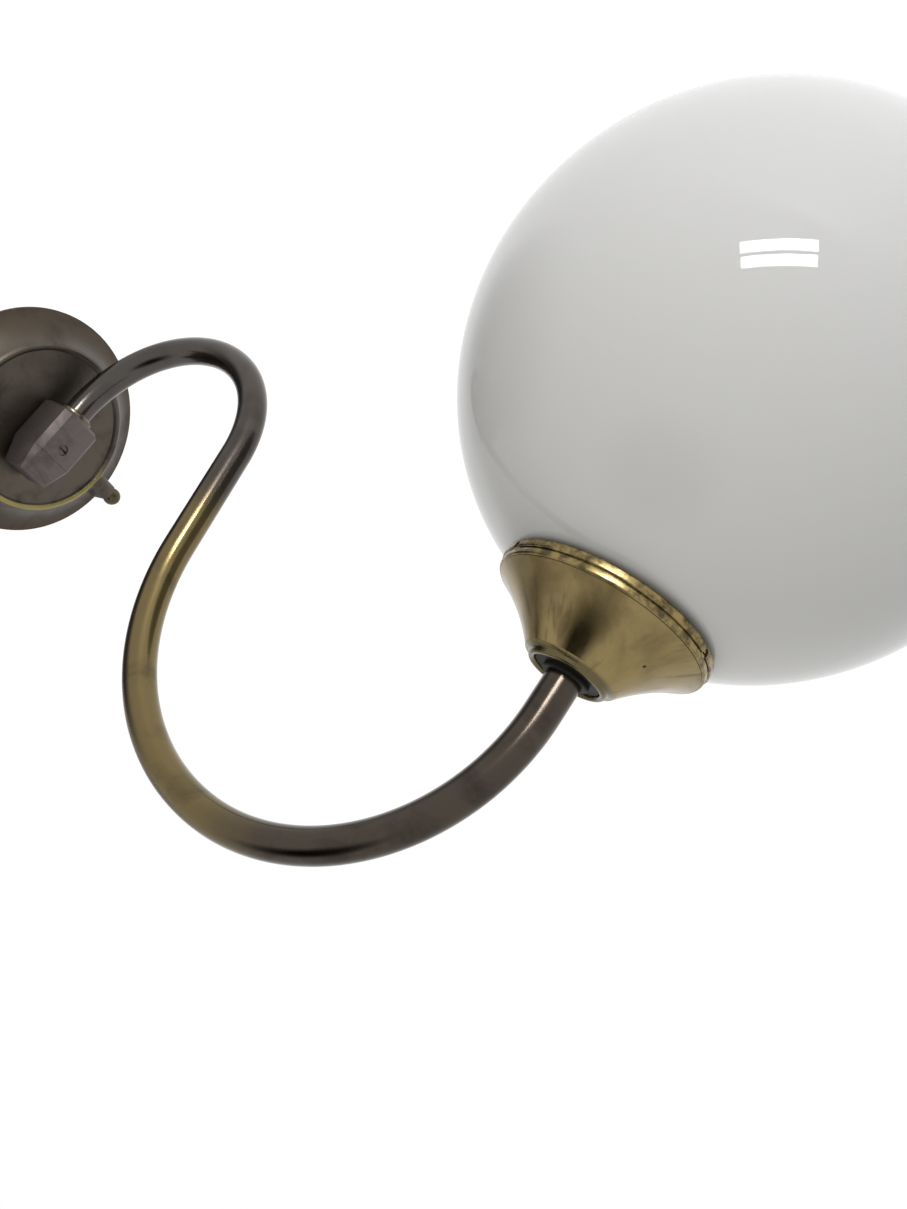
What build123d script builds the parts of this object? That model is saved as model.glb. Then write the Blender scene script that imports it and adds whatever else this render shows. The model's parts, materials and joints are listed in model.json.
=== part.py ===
from build123d import *
import os
from math import cos, radians, sin, sqrt

# Hanging wall sconce: an opal glass ball held in a flared brass gallery, which hangs from a
# swan-neck tube. The tube turns in a faceted block on a round dished wall canopy.
# Millimetres, +Z up. The origin is the centre of the canopy on the wall, the wall is the
# plane Y = 0, and the room lies towards -Y. The lamp's own axis is vertical, further out.

# ---------------------------------------------------------------- fits and clearances
RUNNING_GAP = 0.05      # radial, turned and threaded fits
PASS_GAP = 0.2          # radial, a screw through a plain hole
SEAT_GAP = 0.3          # between curved faces that lie next to each other

# ---------------------------------------------------------------- glass ball
GLOBE_D = 200.0
GLOBE_WALL = 2.5
GLOBE_NECK_D = 60.0
GLOBE_LIP_D = 65.0
GLOBE_LIP_H = 2.4
GASKET_H = 1.2
GASKET_INSET = 0.5      # of the gasket from the edges of the glass lip
GASKET_STEP = 0.1       # step of the search for the gasket's height

# ---------------------------------------------------------------- gallery
NECK_LIP_Z = 2.0        # height of the gallery's neck lip
NECK_R = 14.2
NECK_WALL = 2.4
NECK_H = 2.0
NECK_RECESS = 4.3       # from the neck lip down to the web
WEB_T = 1.2
FLARE_TOP_R = 16.4
FLARE_TOP_DROP = 2.6
FLARE_SAG = 1.3         # how far the flare curves in from a straight cone
FLARE_LOW_R = 36.7
FLARE_H = 20.0          # from the neck lip down to the band
FLARE_WALL = 1.0
BAND_H = 5.6
BAND_UPPER_H = 2.6
BAND_UPPER_R = 37.5
BAND_R = 38.1
BAND_BORE_R = 34.2
BAND_GROOVE = 0.5
GALLERY_SCREW_D = 3.0
GALLERY_SCREW_ANGLES = (40.0, 160.0, 280.0)
COLLAR_R = 11.6
COLLAR_H = 3.2
SEAT_RING_R = 8.2
SEAT_RING_H = 1.9

# ---------------------------------------------------------------- arm tube
TUBE_D = 12.7
TUBE_WALL = 1.3
AXIS_Y = -23.2          # the swivel axis, in front of the wall
UBEND_Z = -15.7         # where the small bend starts
UBEND_R = 51.8
LEAN = 9.8              # degrees that the middle run leans from upright
RUN_L = 46.0
ARCH_BACK_R = 93.5
ARCH_FRONT_R = 83.0

# ---------------------------------------------------------------- threaded tubes and flex
NIPPLE_D = 10.0
NIPPLE_BORE_D = 7.0
NIPPLE_IN_TUBE = 12.0
NUT_AF = 14.0
NUT_H = 3.0
WASHER_D = 16.0
WASHER_H = 0.9
FLEX_D = 5.2
FLEX_BEND_R = 5.5
CORE_D = 1.8
CORE_PITCH_R = 1.35     # how far each core lies from the flex's centre line
CORE_BEND_R = 1.3
CORE_LEAD = 1.6         # straight length of a core next to what it enters
CORE_ANGLES = {"live": 0, "neutral": 180, "earth": 90}     # round the lamp's axis
WALL_CORE_RISE = 30.0   # degrees above level where the two upper cores leave the wall flex
NIPPLE_SPARE = 1.0      # how far a threaded tube passes what it is screwed into
FLEX_SPARE = 0.5        # from the lamp's threaded tube down to the end of the sheath
FLEX_IN_NIPPLE = 3.0    # how far inside the canopy's threaded tube the sheath ends
SCREW_SINK = 0.5        # how deep a small screw's head lies below the face round it

# ---------------------------------------------------------------- swivel block
BLOCK_W = 23.0
BLOCK_FRONT = 10.5      # from the swivel axis to the front face
BLOCK_BOTTOM_Z = -10.5
BLOCK_TOP_Z = 12.0
BLOCK_EDGE = 2.8
BLOCK_FOOT_CHAMFER = 3.2
CAP_H = 12.0
CAP_TAPER = 16.5
CAP_EDGE = 0.4
CAP_PLUG_H = 2.4
CAP_HOLLOW_D = 9.0
CAP_HOLLOW_H = 6.0
SPIGOT_D = 15.8
SPIGOT_SEAT_H = 4.1
GROOVE_Z = 6.0
GROOVE_H = 4.0
GROOVE_DEPTH = 1.5
WINDOW_H = 6.8
WINDOW_HALF_ANGLE = 100.0
COLLAR_RING_R = 8.4
COLLAR_RING_H = 2.4
GRUB_D = 5.0
GRUB_POINT_D = 3.7

# ---------------------------------------------------------------- canopy
CANOPY_R = 54.0
CANOPY_WALL = 1.2
CANOPY_FACE = 12.0      # from the wall to the front face
BEAD_IN = 17.2          # of the bead's inner edge from the canopy's edge
BEAD_W = 3.6
BEAD_H = 1.4
COVE_SAG = 1.8
CANOPY_RIM = 1.2
BOSS_D = 9.0
BOSS_IN = 1.0           # of a side boss's end from the canopy's edge
SIDE_SCREW_Y = -7.6
SIDE_SCREW_D = 4.0
SIDE_SCREW_HEAD_D = 8.8
SIDE_SCREW_LIFT = 0.85  # centre of the ball head off its boss, as a share of its radius
SLOT_W = 1.0
SLOT_DEPTH = 1.4

# ---------------------------------------------------------------- bracket and terminals
STRAP_T = 2.0
STRAP_W = 22.0
EAR_IN = 15.0           # of an ear's outer face from the canopy's edge
EAR_W = 12.0
EAR_RISE = 10.4         # from the wall to the top of an ear
WALL_HOLE_SPACING = 60.0
WALL_HOLE_D = 4.5
CABLE_HOLE_D = 14.0
TAB_W = 16.0
TERMINAL_TAB_Z = 30.0
EARTH_TAB_Z = -23.0
EARTH_SCREW_Z = -18.0
TERMINAL_Z = 15.0
TERMINAL_W = 20.0
TERMINAL_H = 14.0
TERMINAL_T = 8.0
POLE_X = 5.0
SLEEVE_D = 4.4
SLEEVE_BORE_D = 2.6
SLEEVE_FLOOR = 1.0      # of the block, between a sleeve and the tab
CLAMP_SCREW_D = 2.6
FIXING_SCREW_D = 3.0
FIXING_HEAD_D = 5.6
EARTH_HEAD_D = 7.2
SCREW_HEAD_H = 2.0
LUG_T = 0.8
LUG_RING_R = 4.2
LUG_BARREL_FOOT = 3.9   # from the screw up to the barrel
LUG_BARREL_H = 5.0
LUG_FLOOR = 1.0

# ---------------------------------------------------------------- lampholder and bulb
HOLDER_R = 19.5
HOLDER_WALL = 1.5
HOLDER_BOSS_R = 8.0
HOLDER_BOSS_H = 2.2
HOLDER_CAP_H = 16.0
HOLDER_DOME = 0.28      # how far the dome's middle drops, as a share of its height
HOLDER_SHOULDER_H = 5.0
HOLDER_SLEEVE_H = 34.7
BASE_H = 7.0
POST_D = 5.0
POST_H = 5.0
POST_PITCH_R = 9.0
SHELL_BORE_D = 26.4
SHELL_WALL = 0.5
SHELL_H = 23.7
CONTACT_D = 6.0
CONTACT_H = 2.7
BULB_CAP_D = 26.2
BULB_CAP_WALL = 0.4
BULB_CAP_H = 19.0
BULB_CAP_DROP = 5.2     # from the bulb's tip to its brass cap
BULB_TIP_D = 9.6
BULB_TIP_H = 1.9
BULB_D = 45.0
BULB_WALL = 1.0
BULB_HOUSING_H = 27.0
BULB_HOUSING_SWELL = 0.9    # middle radius of the housing, as a share of the bulb's
LIGHT_BOARD_T = 1.6

# ---------------------------------------------------------------- places worked out from the sizes
tube_r = TUBE_D / 2
tube_bore_r = tube_r - TUBE_WALL
lean = radians(LEAN)
arch_front_y = (AXIS_Y - UBEND_R * (1 + cos(lean)) - RUN_L * sin(lean)
                - ARCH_BACK_R * cos(lean))
lamp_y = arch_front_y - ARCH_FRONT_R
arch_top_z = (UBEND_Z - UBEND_R * sin(lean) + RUN_L * cos(lean)
              + ARCH_BACK_R * (1 - sin(lean)))
arch_end_z = arch_top_z - ARCH_FRONT_R

web_top_z = NECK_LIP_Z - NECK_RECESS
web_low_z = web_top_z - WEB_T
nut_top_z = web_low_z - WASHER_H
holder_top_z = nut_top_z - NUT_H
nipple_low_z = holder_top_z - HOLDER_BOSS_H - NIPPLE_SPARE
flex_low_z = nipple_low_z - FLEX_SPARE
base_top_z = holder_top_z - HOLDER_CAP_H
base_low_z = base_top_z - BASE_H
holder_low_z = base_top_z - HOLDER_SLEEVE_H
bulb_top_z = base_low_z - CONTACT_H - SEAT_GAP
bulb_wide_z = bulb_top_z - BULB_CAP_DROP - BULB_CAP_H - BULB_HOUSING_H

band_top_z = NECK_LIP_Z - FLARE_H
band_low_z = band_top_z - BAND_H
globe_r = GLOBE_D / 2
globe_neck_r = GLOBE_NECK_D / 2
globe_lip_r = GLOBE_LIP_D / 2
globe_neck_base = sqrt(globe_r**2 - globe_neck_r**2)
globe_neck_h = GALLERY_SCREW_D + PASS_GAP
globe_lip_base = globe_neck_base + globe_neck_h
globe_top = globe_lip_base + GLOBE_LIP_H


def flare_radius(z):
    """Outer radius of the gallery's flare at a height, read off the same arc as the shell."""
    low = Vector(FLARE_LOW_R, band_top_z)
    top = Vector(FLARE_TOP_R, NECK_LIP_Z - FLARE_TOP_DROP)
    chord = top - low
    half = chord.length / 2
    radius = (half**2 + FLARE_SAG**2) / (2 * FLARE_SAG)
    middle = (low + top) / 2
    outward = Vector(chord.Y, -chord.X).normalized()
    centre = middle + outward * (radius - FLARE_SAG)
    return centre.X - sqrt(radius**2 - (z - centre.Y)**2)


# The gasket lies where the inside of the flare is just wider than the gasket.
gasket_r = globe_lip_r - GASKET_INSET
gasket_top_z = band_top_z + SEAT_GAP
while flare_radius(gasket_top_z) - FLARE_WALL - SEAT_GAP > gasket_r:
    gasket_top_z += GASKET_STEP
lip_top_z = gasket_top_z - GASKET_H
globe_z = lip_top_z - globe_top
gallery_screw_z = globe_z + globe_neck_base + globe_neck_h / 2

bead_in_r = CANOPY_R - BEAD_IN
bead_out_r = bead_in_r + BEAD_W
boss_end = CANOPY_R - BOSS_IN
ear_out = CANOPY_R - EAR_IN
block_rear_y = -CANOPY_FACE
block_front_y = AXIS_Y - BLOCK_FRONT
spigot_r = SPIGOT_D / 2
tube_top_z = BLOCK_BOTTOM_Z + SPIGOT_SEAT_H
spigot_top_z = BLOCK_TOP_Z - CAP_PLUG_H - SEAT_GAP
flex_split_z = -FLEX_BEND_R
canopy_nipple_front_y = AXIS_Y + spigot_r + SEAT_GAP
canopy_back_y = -CANOPY_FACE + CANOPY_WALL
canopy_nut_y = canopy_back_y + WASHER_H
canopy_nipple_back_y = canopy_nut_y + NUT_H + NIPPLE_SPARE
canopy_flex_end_y = canopy_nipple_back_y - FLEX_IN_NIPPLE
core_y = (canopy_nipple_back_y - STRAP_T) / 2
sleeve_y = -STRAP_T - SLEEVE_FLOOR - SLEEVE_D / 2


# ---------------------------------------------------------------- small helpers
def rod(radius, start, end):
    """Round bar from one point to another."""
    axis = Vector(*end) - Vector(*start)
    bar = Cylinder(radius, axis.length, align=(Align.CENTER, Align.CENTER, Align.MIN))
    return Plane(origin=start, z_dir=axis) * bar


def pipe(outer, inner, start, end):
    """Round tube from one point to another."""
    return rod(outer, start, end) - rod(inner, start, end)


def lamp_point(z, x=0.0, y=0.0):
    """A point near the lamp's own vertical axis."""
    return (x, lamp_y + y, z)


def turned(*outline):
    """Body turned about the lamp's axis from edges drawn as (radius, height)."""
    return Pos(0, lamp_y, 0) * revolve(Plane.XZ * make_face([*outline]), Axis.Z)


def hex_nut(centre, direction):
    """Lock nut for the hollow threaded tubes, standing on a point along a direction."""
    face = Plane(origin=centre, z_dir=direction)
    flats = RegularPolygon(NUT_AF / 2, 6, major_radius=False)
    return face * extrude(flats - Circle(NIPPLE_D / 2 + RUNNING_GAP), NUT_H)


def strand(points, bend_r, radius):
    """Round wire along straight runs joined by arcs."""
    path = FilletPolyline(*points, radius=bend_r)
    return sweep(Plane(path ^ 0) * Circle(radius), path=path)


def group(pieces):
    """Separate solids kept together as one node."""
    return Compound(children=list(pieces))


def polar(radius, angle, z):
    """A point round the lamp's axis."""
    return lamp_point(z, radius * cos(radians(angle)), radius * sin(radians(angle)))


# ---------------------------------------------------------------- arm
def arm_line(lamp_end_z, wall_end_z):
    """Centre line of the arm: up from the lamp, over the arch, down and round the small bend."""
    leg = Line((lamp_y, lamp_end_z), (lamp_y, arch_end_z))
    front = JernArc(leg @ 1, leg % 1, ARCH_FRONT_R, -90)
    back = JernArc(front @ 1, front % 1, ARCH_BACK_R, LEAN - 90)
    run = Line(back @ 1, back @ 1 + (back % 1) * RUN_L)
    bend = JernArc(run @ 1, run % 1, UBEND_R, 180 - LEAN)
    riser = Line(bend @ 1, (AXIS_Y, wall_end_z))
    return Plane.YZ * (Curve() + [leg, front, back, run, bend, riser])


def swept_along(section, path):
    """A section, drawn flat, swept along the arm."""
    return sweep(Plane(path ^ 0) * section, path=path)


def make_arm_tube():
    section = Circle(tube_r) - Circle(tube_bore_r)
    return swept_along(section, arm_line(web_top_z, tube_top_z))


def make_arm_flex():
    return swept_along(Circle(FLEX_D / 2), arm_line(flex_low_z, flex_split_z))


# ---------------------------------------------------------------- swivel
def make_swivel_spigot():
    """Sleeve on the tube's end that turns in the block; its window lets the flex out."""
    foot = (0, AXIS_Y, BLOCK_BOTTOM_Z)
    top = (0, AXIS_Y, spigot_top_z)
    body = rod(spigot_r, foot, top)
    body -= rod(tube_bore_r, foot, top)
    body -= rod(tube_r + RUNNING_GAP, foot, (0, AXIS_Y, tube_top_z))
    groove_low = (0, AXIS_Y, GROOVE_Z - GROOVE_H / 2)
    groove_top = (0, AXIS_Y, GROOVE_Z + GROOVE_H / 2)
    body -= pipe(SPIGOT_D, spigot_r - GROOVE_DEPTH, groove_low, groove_top)
    turn = Rot(0, 0, 90 - WINDOW_HALF_ANGLE)
    window = Cylinder(SPIGOT_D, WINDOW_H, arc_size=2 * WINDOW_HALF_ANGLE)
    return body - Pos(0, AXIS_Y, 0) * turn * window


def make_swivel_collar():
    """Bright ring on the tube under the block."""
    top = (0, AXIS_Y, BLOCK_BOTTOM_Z)
    low = (0, AXIS_Y, BLOCK_BOTTOM_Z - COLLAR_RING_H)
    ring = pipe(COLLAR_RING_R, tube_r + RUNNING_GAP, low, top)
    outer_edges = ring.edges().filter_by(GeomType.CIRCLE).group_by(Axis.Z)[0]
    return chamfer(outer_edges.sort_by(SortBy.RADIUS)[-1], COLLAR_RING_H / 3)


def block_section():
    """Plan of the block, cornered like a stop-chamfered bar."""
    depth = block_rear_y - block_front_y
    centre_y = (block_rear_y + block_front_y) / 2
    plan = chamfer(Rectangle(BLOCK_W, depth).vertices(), BLOCK_EDGE)
    return Pos(0, centre_y) * plan


def make_swivel_block():
    """Faceted block that carries the arm; its rear face sits on the canopy."""
    body = Pos(0, 0, BLOCK_BOTTOM_Z) * extrude(block_section(), BLOCK_TOP_Z - BLOCK_BOTTOM_Z)
    foot = body.edges().group_by(Axis.Z)[0].sort_by(Axis.Y)
    body = chamfer(foot[:-1], BLOCK_FOOT_CHAMFER / 2, BLOCK_FOOT_CHAMFER / 2)
    body -= rod(spigot_r + RUNNING_GAP, (0, AXIS_Y, BLOCK_BOTTOM_Z - 1), (0, AXIS_Y, BLOCK_TOP_Z + 1))
    body -= rod(NIPPLE_D / 2 + RUNNING_GAP, (0, AXIS_Y, 0), (0, 1, 0))
    body -= rod(GRUB_D / 2 + RUNNING_GAP, (0, AXIS_Y, GROOVE_Z), (0, block_front_y - 1, GROOVE_Z))
    return body


def make_swivel_block_cap():
    """Tapered cap that closes the block's bore, hollow for the bend of the flex."""
    cap = Pos(0, 0, BLOCK_TOP_Z) * extrude(block_section(), CAP_H, taper=CAP_TAPER)
    cap = fillet(cap.edges().group_by(Axis.Z)[-1], CAP_EDGE)
    plug_low = (0, AXIS_Y, BLOCK_TOP_Z - CAP_PLUG_H)
    cap += rod(spigot_r, plug_low, (0, AXIS_Y, BLOCK_TOP_Z))
    return cap - rod(CAP_HOLLOW_D / 2, plug_low, (0, AXIS_Y, BLOCK_TOP_Z + CAP_HOLLOW_H))


def make_swivel_grub_screw():
    """Slotted screw in the block's front face; its point rides in the spigot's groove."""
    head_y = block_front_y + SCREW_SINK
    step_y = AXIS_Y - spigot_r
    point_y = AXIS_Y - (spigot_r - GROOVE_DEPTH) - SEAT_GAP
    screw = rod(GRUB_D / 2, (0, head_y, GROOVE_Z), (0, step_y, GROOVE_Z))
    screw += rod(GRUB_POINT_D / 2, (0, step_y, GROOVE_Z), (0, point_y, GROOVE_Z))
    return screw - Pos(0, head_y, GROOVE_Z) * Box(GRUB_D, 2 * SLOT_W, SLOT_W)


# ---------------------------------------------------------------- gallery
def make_gallery_shell():
    """Spun brass flare with its rounded neck and the inner web that the nut clamps."""
    lip = NECK_LIP_Z
    rounding_z = lip - NECK_WALL / 2
    top = (FLARE_TOP_R, lip - FLARE_TOP_DROP)
    low = (FLARE_LOW_R, band_top_z)
    inner_low = (FLARE_LOW_R - FLARE_WALL, band_top_z)
    inner_top = (FLARE_TOP_R - FLARE_WALL, web_low_z)
    mid_z = (top[1] + low[1]) / 2
    outer_mid = (flare_radius(mid_z), mid_z)
    inner_mid_z = (inner_top[1] + low[1]) / 2
    inner_mid = (flare_radius(inner_mid_z) - FLARE_WALL, inner_mid_z)
    neck_in = NECK_R - NECK_WALL
    hole = NIPPLE_D / 2 + PASS_GAP
    shoulder = (NECK_R, lip - NECK_H)
    return turned(
        Polyline((hole, web_low_z), (hole, web_top_z), (neck_in, web_top_z), (neck_in, rounding_z)),
        ThreePointArc((neck_in, rounding_z), (NECK_R - NECK_WALL / 2, lip), (NECK_R, rounding_z)),
        Polyline((NECK_R, rounding_z), shoulder, top),
        ThreePointArc(top, outer_mid, low),
        Line(low, inner_low),
        ThreePointArc(inner_low, inner_mid, inner_top),
        Line(inner_top, (hole, web_low_z)),
    )


def gallery_screw_ends():
    """Radii of a gallery screw's outer end and of its point under the glass lip."""
    return BAND_R - SCREW_SINK, globe_neck_r + SEAT_GAP


def make_gallery_band():
    """Two-tier rim under the flare, drilled for the screws that hold the glass."""
    step_z = band_top_z - BAND_UPPER_H
    groove = BAND_GROOVE
    band = turned(Polyline(
        (BAND_BORE_R, band_top_z),
        (FLARE_LOW_R - groove, band_top_z),
        (FLARE_LOW_R - groove, band_top_z - groove),
        (BAND_UPPER_R - groove / 2, band_top_z - groove),
        (BAND_UPPER_R, band_top_z - 1.5 * groove),
        (BAND_UPPER_R, step_z),
        (BAND_UPPER_R - groove / 2, step_z - groove / 4),
        (BAND_UPPER_R, step_z - groove / 2),
        (BAND_R - groove / 4, step_z - groove / 2),
        (BAND_R, step_z - groove),
        (BAND_R, band_low_z + groove),
        (BAND_R - groove, band_low_z),
        (BAND_BORE_R, band_low_z),
        (BAND_BORE_R, band_top_z),
    ))
    for angle in GALLERY_SCREW_ANGLES:
        band -= rod(
            GALLERY_SCREW_D / 2 + RUNNING_GAP,
            polar(BAND_BORE_R - 2, angle, gallery_screw_z),
            polar(BAND_R + 2, angle, gallery_screw_z),
        )
    return band


def make_gallery_screw(angle):
    """Slotted headless screw that reaches in under the lip of the glass."""
    outer_end, point = gallery_screw_ends()
    head = polar(outer_end, angle, gallery_screw_z)
    screw = rod(GALLERY_SCREW_D / 2, polar(point, angle, gallery_screw_z), head)
    slot = Box(SLOT_DEPTH, 2 * GALLERY_SCREW_D, SLOT_W / 2)
    return screw - Pos(*head) * Rot(0, 0, angle) * slot


def make_neck_collar():
    """Dark ring sunk in the gallery's neck."""
    low = lamp_point(web_top_z)
    top = lamp_point(web_top_z + COLLAR_H)
    return pipe(COLLAR_R, tube_r + RUNNING_GAP, low, top)


def make_seat_ring():
    """Second dark ring round the foot of the tube; it stands proud of the neck."""
    low = lamp_point(web_top_z + COLLAR_H)
    top = lamp_point(web_top_z + COLLAR_H + SEAT_RING_H)
    ring = pipe(SEAT_RING_R, tube_r + RUNNING_GAP, low, top)
    outer = ring.edges().filter_by(GeomType.CIRCLE).group_by(Axis.Z)[-1].sort_by(SortBy.RADIUS)[-1]
    return fillet(outer, SEAT_RING_H / 3)


def make_lamp_nipple():
    """Hollow threaded tube that ties tube, gallery and lampholder together."""
    low = lamp_point(nipple_low_z)
    top = lamp_point(web_top_z + NIPPLE_IN_TUBE)
    return pipe(NIPPLE_D / 2, NIPPLE_BORE_D / 2, low, top)


def make_gallery_washer():
    inner = NIPPLE_D / 2 + PASS_GAP
    return pipe(WASHER_D / 2, inner, lamp_point(nut_top_z), lamp_point(web_low_z))


def make_gallery_nut():
    return hex_nut(lamp_point(nut_top_z), (0, 0, -1))


# ---------------------------------------------------------------- glass
def make_globe():
    """Blown ball with a short neck and a lip at its mouth."""
    inner_r = globe_r - GLOBE_WALL
    mouth_r = globe_neck_r - GLOBE_WALL
    mouth_base = sqrt(inner_r**2 - mouth_r**2)
    ball = Pos(0, lamp_y, globe_z)
    outline = [
        ThreePointArc((0, -globe_r), (globe_r, 0), (globe_neck_r, globe_neck_base)),
        Polyline(
            (globe_neck_r, globe_neck_base),
            (globe_neck_r, globe_lip_base),
            (globe_lip_r, globe_lip_base),
            (globe_lip_r, globe_top),
            (mouth_r, globe_top),
            (mouth_r, mouth_base),
        ),
        ThreePointArc((mouth_r, mouth_base), (inner_r, 0), (0, -inner_r)),
        Line((0, -inner_r), (0, -globe_r)),
    ]
    return ball * revolve(Plane.XZ * make_face(outline), Axis.Z)


def make_glass_gasket():
    """Soft ring between the glass lip and the inside of the flare."""
    inner = globe_neck_r - GLOBE_WALL + GASKET_INSET
    return pipe(gasket_r, inner, lamp_point(lip_top_z), lamp_point(gasket_top_z))


# ---------------------------------------------------------------- lampholder
def make_lampholder_cap():
    top = holder_top_z
    low = base_top_z
    bore = NIPPLE_D / 2 + RUNNING_GAP
    boss_z = top - HOLDER_BOSS_H
    shoulder_z = low + HOLDER_SHOULDER_H
    inner_r = HOLDER_R - HOLDER_WALL
    inner_boss_z = boss_z - HOLDER_WALL
    dome_mid = (
        HOLDER_R - (HOLDER_R - HOLDER_BOSS_R) * HOLDER_DOME,
        boss_z - (boss_z - shoulder_z) * HOLDER_DOME,
    )
    return turned(
        Polyline((bore, inner_boss_z), (bore, top), (HOLDER_BOSS_R, top), (HOLDER_BOSS_R, boss_z)),
        ThreePointArc((HOLDER_BOSS_R, boss_z), dome_mid, (HOLDER_R, shoulder_z)),
        Polyline((HOLDER_R, shoulder_z), (HOLDER_R, low), (inner_r, low), (inner_r, shoulder_z)),
        Polyline((inner_r, shoulder_z), (HOLDER_BOSS_R, inner_boss_z), (bore, inner_boss_z)),
    )


def make_lampholder_sleeve():
    inner_r = HOLDER_R - HOLDER_WALL
    return pipe(HOLDER_R, inner_r, lamp_point(holder_low_z), lamp_point(base_top_z))


def make_lampholder_base():
    """Ceramic disc that carries the terminals, the screw shell and the centre contact."""
    return rod(HOLDER_R - HOLDER_WALL - PASS_GAP, lamp_point(base_low_z), lamp_point(base_top_z))


def make_screw_shell():
    outer = SHELL_BORE_D / 2 + SHELL_WALL
    low = base_low_z - SHELL_H
    shell = pipe(outer, SHELL_BORE_D / 2, lamp_point(low), lamp_point(base_low_z))
    flange = pipe(outer, CONTACT_D, lamp_point(base_low_z - SHELL_WALL), lamp_point(base_low_z))
    return shell + flange


def make_centre_contact():
    return rod(CONTACT_D / 2, lamp_point(base_low_z - CONTACT_H), lamp_point(base_low_z))


def make_lampholder_terminals():
    posts = []
    for angle in CORE_ANGLES.values():
        foot = polar(POST_PITCH_R, angle, base_top_z)
        top = polar(POST_PITCH_R, angle, base_top_z + POST_H)
        hole_foot = polar(POST_PITCH_R, angle, base_top_z + POST_H / 2)
        posts.append(rod(POST_D / 2, foot, top) - rod(CORE_D / 2 + PASS_GAP, hole_foot, top))
    return group(posts)


def make_lamp_core(angle):
    """One core from the end of the flex to its post in the lampholder."""
    post_z = base_top_z + POST_H
    points = [
        polar(CORE_PITCH_R, angle, flex_low_z),
        polar(CORE_PITCH_R, angle, flex_low_z - CORE_LEAD),
        polar(POST_PITCH_R, angle, post_z + CORE_LEAD),
        polar(POST_PITCH_R, angle, base_top_z + POST_H / 2 + SEAT_GAP),
    ]
    return strand(points, CORE_BEND_R, CORE_D / 2)


# ---------------------------------------------------------------- bulb
def make_bulb_tip():
    return rod(BULB_TIP_D / 2, lamp_point(bulb_top_z - BULB_TIP_H), lamp_point(bulb_top_z))


def make_bulb_insulator():
    """Dark cone between the tip and the brass cap."""
    tip_z = bulb_top_z - BULB_TIP_H
    cap_z = bulb_top_z - BULB_CAP_DROP
    cap_r = BULB_CAP_D / 2
    return turned(Polyline((0, tip_z), (BULB_TIP_D / 2, tip_z), (cap_r, cap_z), (0, cap_z), (0, tip_z)))


def make_bulb_cap():
    top = bulb_top_z - BULB_CAP_DROP
    outer = BULB_CAP_D / 2
    return pipe(outer, outer - BULB_CAP_WALL, lamp_point(top - BULB_CAP_H), lamp_point(top))


def make_bulb_housing():
    """White collar of the bulb, plugged into its cap and flared out to the ball."""
    cap_top = bulb_top_z - BULB_CAP_DROP
    cap_low = cap_top - BULB_CAP_H
    plug_top = cap_top - BULB_CAP_H / 2
    cap_r = BULB_CAP_D / 2
    plug_r = cap_r - BULB_CAP_WALL - RUNNING_GAP
    ball_r = BULB_D / 2
    swell = (ball_r * BULB_HOUSING_SWELL, cap_low - BULB_HOUSING_H / 2)
    return turned(
        Polyline((0, bulb_wide_z), (0, plug_top), (plug_r, plug_top), (plug_r, cap_low), (cap_r, cap_low)),
        ThreePointArc((cap_r, cap_low), swell, (ball_r, bulb_wide_z)),
        Line((ball_r, bulb_wide_z), (0, bulb_wide_z)),
    )


def make_bulb_light_board():
    radius = BULB_D / 2 - BULB_WALL - SEAT_GAP
    return rod(radius, lamp_point(bulb_wide_z - LIGHT_BOARD_T), lamp_point(bulb_wide_z))


def make_bulb_diffuser():
    top = bulb_wide_z
    outer = BULB_D / 2
    inner = outer - BULB_WALL
    half = sqrt(0.5)
    return turned(
        Line((inner, top), (outer, top)),
        ThreePointArc((outer, top), (outer * half, top - outer * half), (0, top - outer)),
        Line((0, top - outer), (0, top - inner)),
        ThreePointArc((0, top - inner), (inner * half, top - inner * half), (inner, top)),
    )


# ---------------------------------------------------------------- canopy
def make_canopy():
    """Dished round cover: flat face, raised bead, hollow-curved flank, and two side bosses."""
    wall = CANOPY_WALL
    slant = wall * sqrt(0.5)
    face = -CANOPY_FACE
    flank_y = face - BEAD_H / 3
    bead_top = ((bead_in_r + bead_out_r) / 2, face - BEAD_H)
    outer_a = Vector(bead_out_r, flank_y)
    outer_b = Vector(CANOPY_R, -CANOPY_RIM)
    inner_a = outer_a + Vector(-slant, slant)
    inner_b = outer_b + Vector(-slant, slant)
    bow = Vector(-COVE_SAG, COVE_SAG) * sqrt(0.5)
    outline = [
        Polyline((0, face + wall), (0, face), (bead_in_r, face)),
        ThreePointArc((bead_in_r, face), bead_top, outer_a),
        ThreePointArc(outer_a, (outer_a + outer_b) / 2 + bow, outer_b),
        Polyline(outer_b, (CANOPY_R, 0), (CANOPY_R - wall, 0), inner_b),
        ThreePointArc(inner_b, (inner_a + inner_b) / 2 + bow, inner_a),
        Polyline(inner_a, (bead_in_r, face + wall), (0, face + wall)),
    ]
    dish = revolve(make_face(outline), Axis.Y)
    for side in (-1, 1):
        inner_end = (side * bead_out_r, SIDE_SCREW_Y, 0)
        dish += rod(BOSS_D / 2, inner_end, (side * boss_end, SIDE_SCREW_Y, 0))
    screw_line = [(side * 2 * CANOPY_R, SIDE_SCREW_Y, 0) for side in (-1, 1)]
    dish -= rod(SIDE_SCREW_D / 2 + PASS_GAP, *screw_line)
    return dish - rod(NIPPLE_D / 2 + PASS_GAP, (0, 1, 0), (0, 2 * face, 0))


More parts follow.
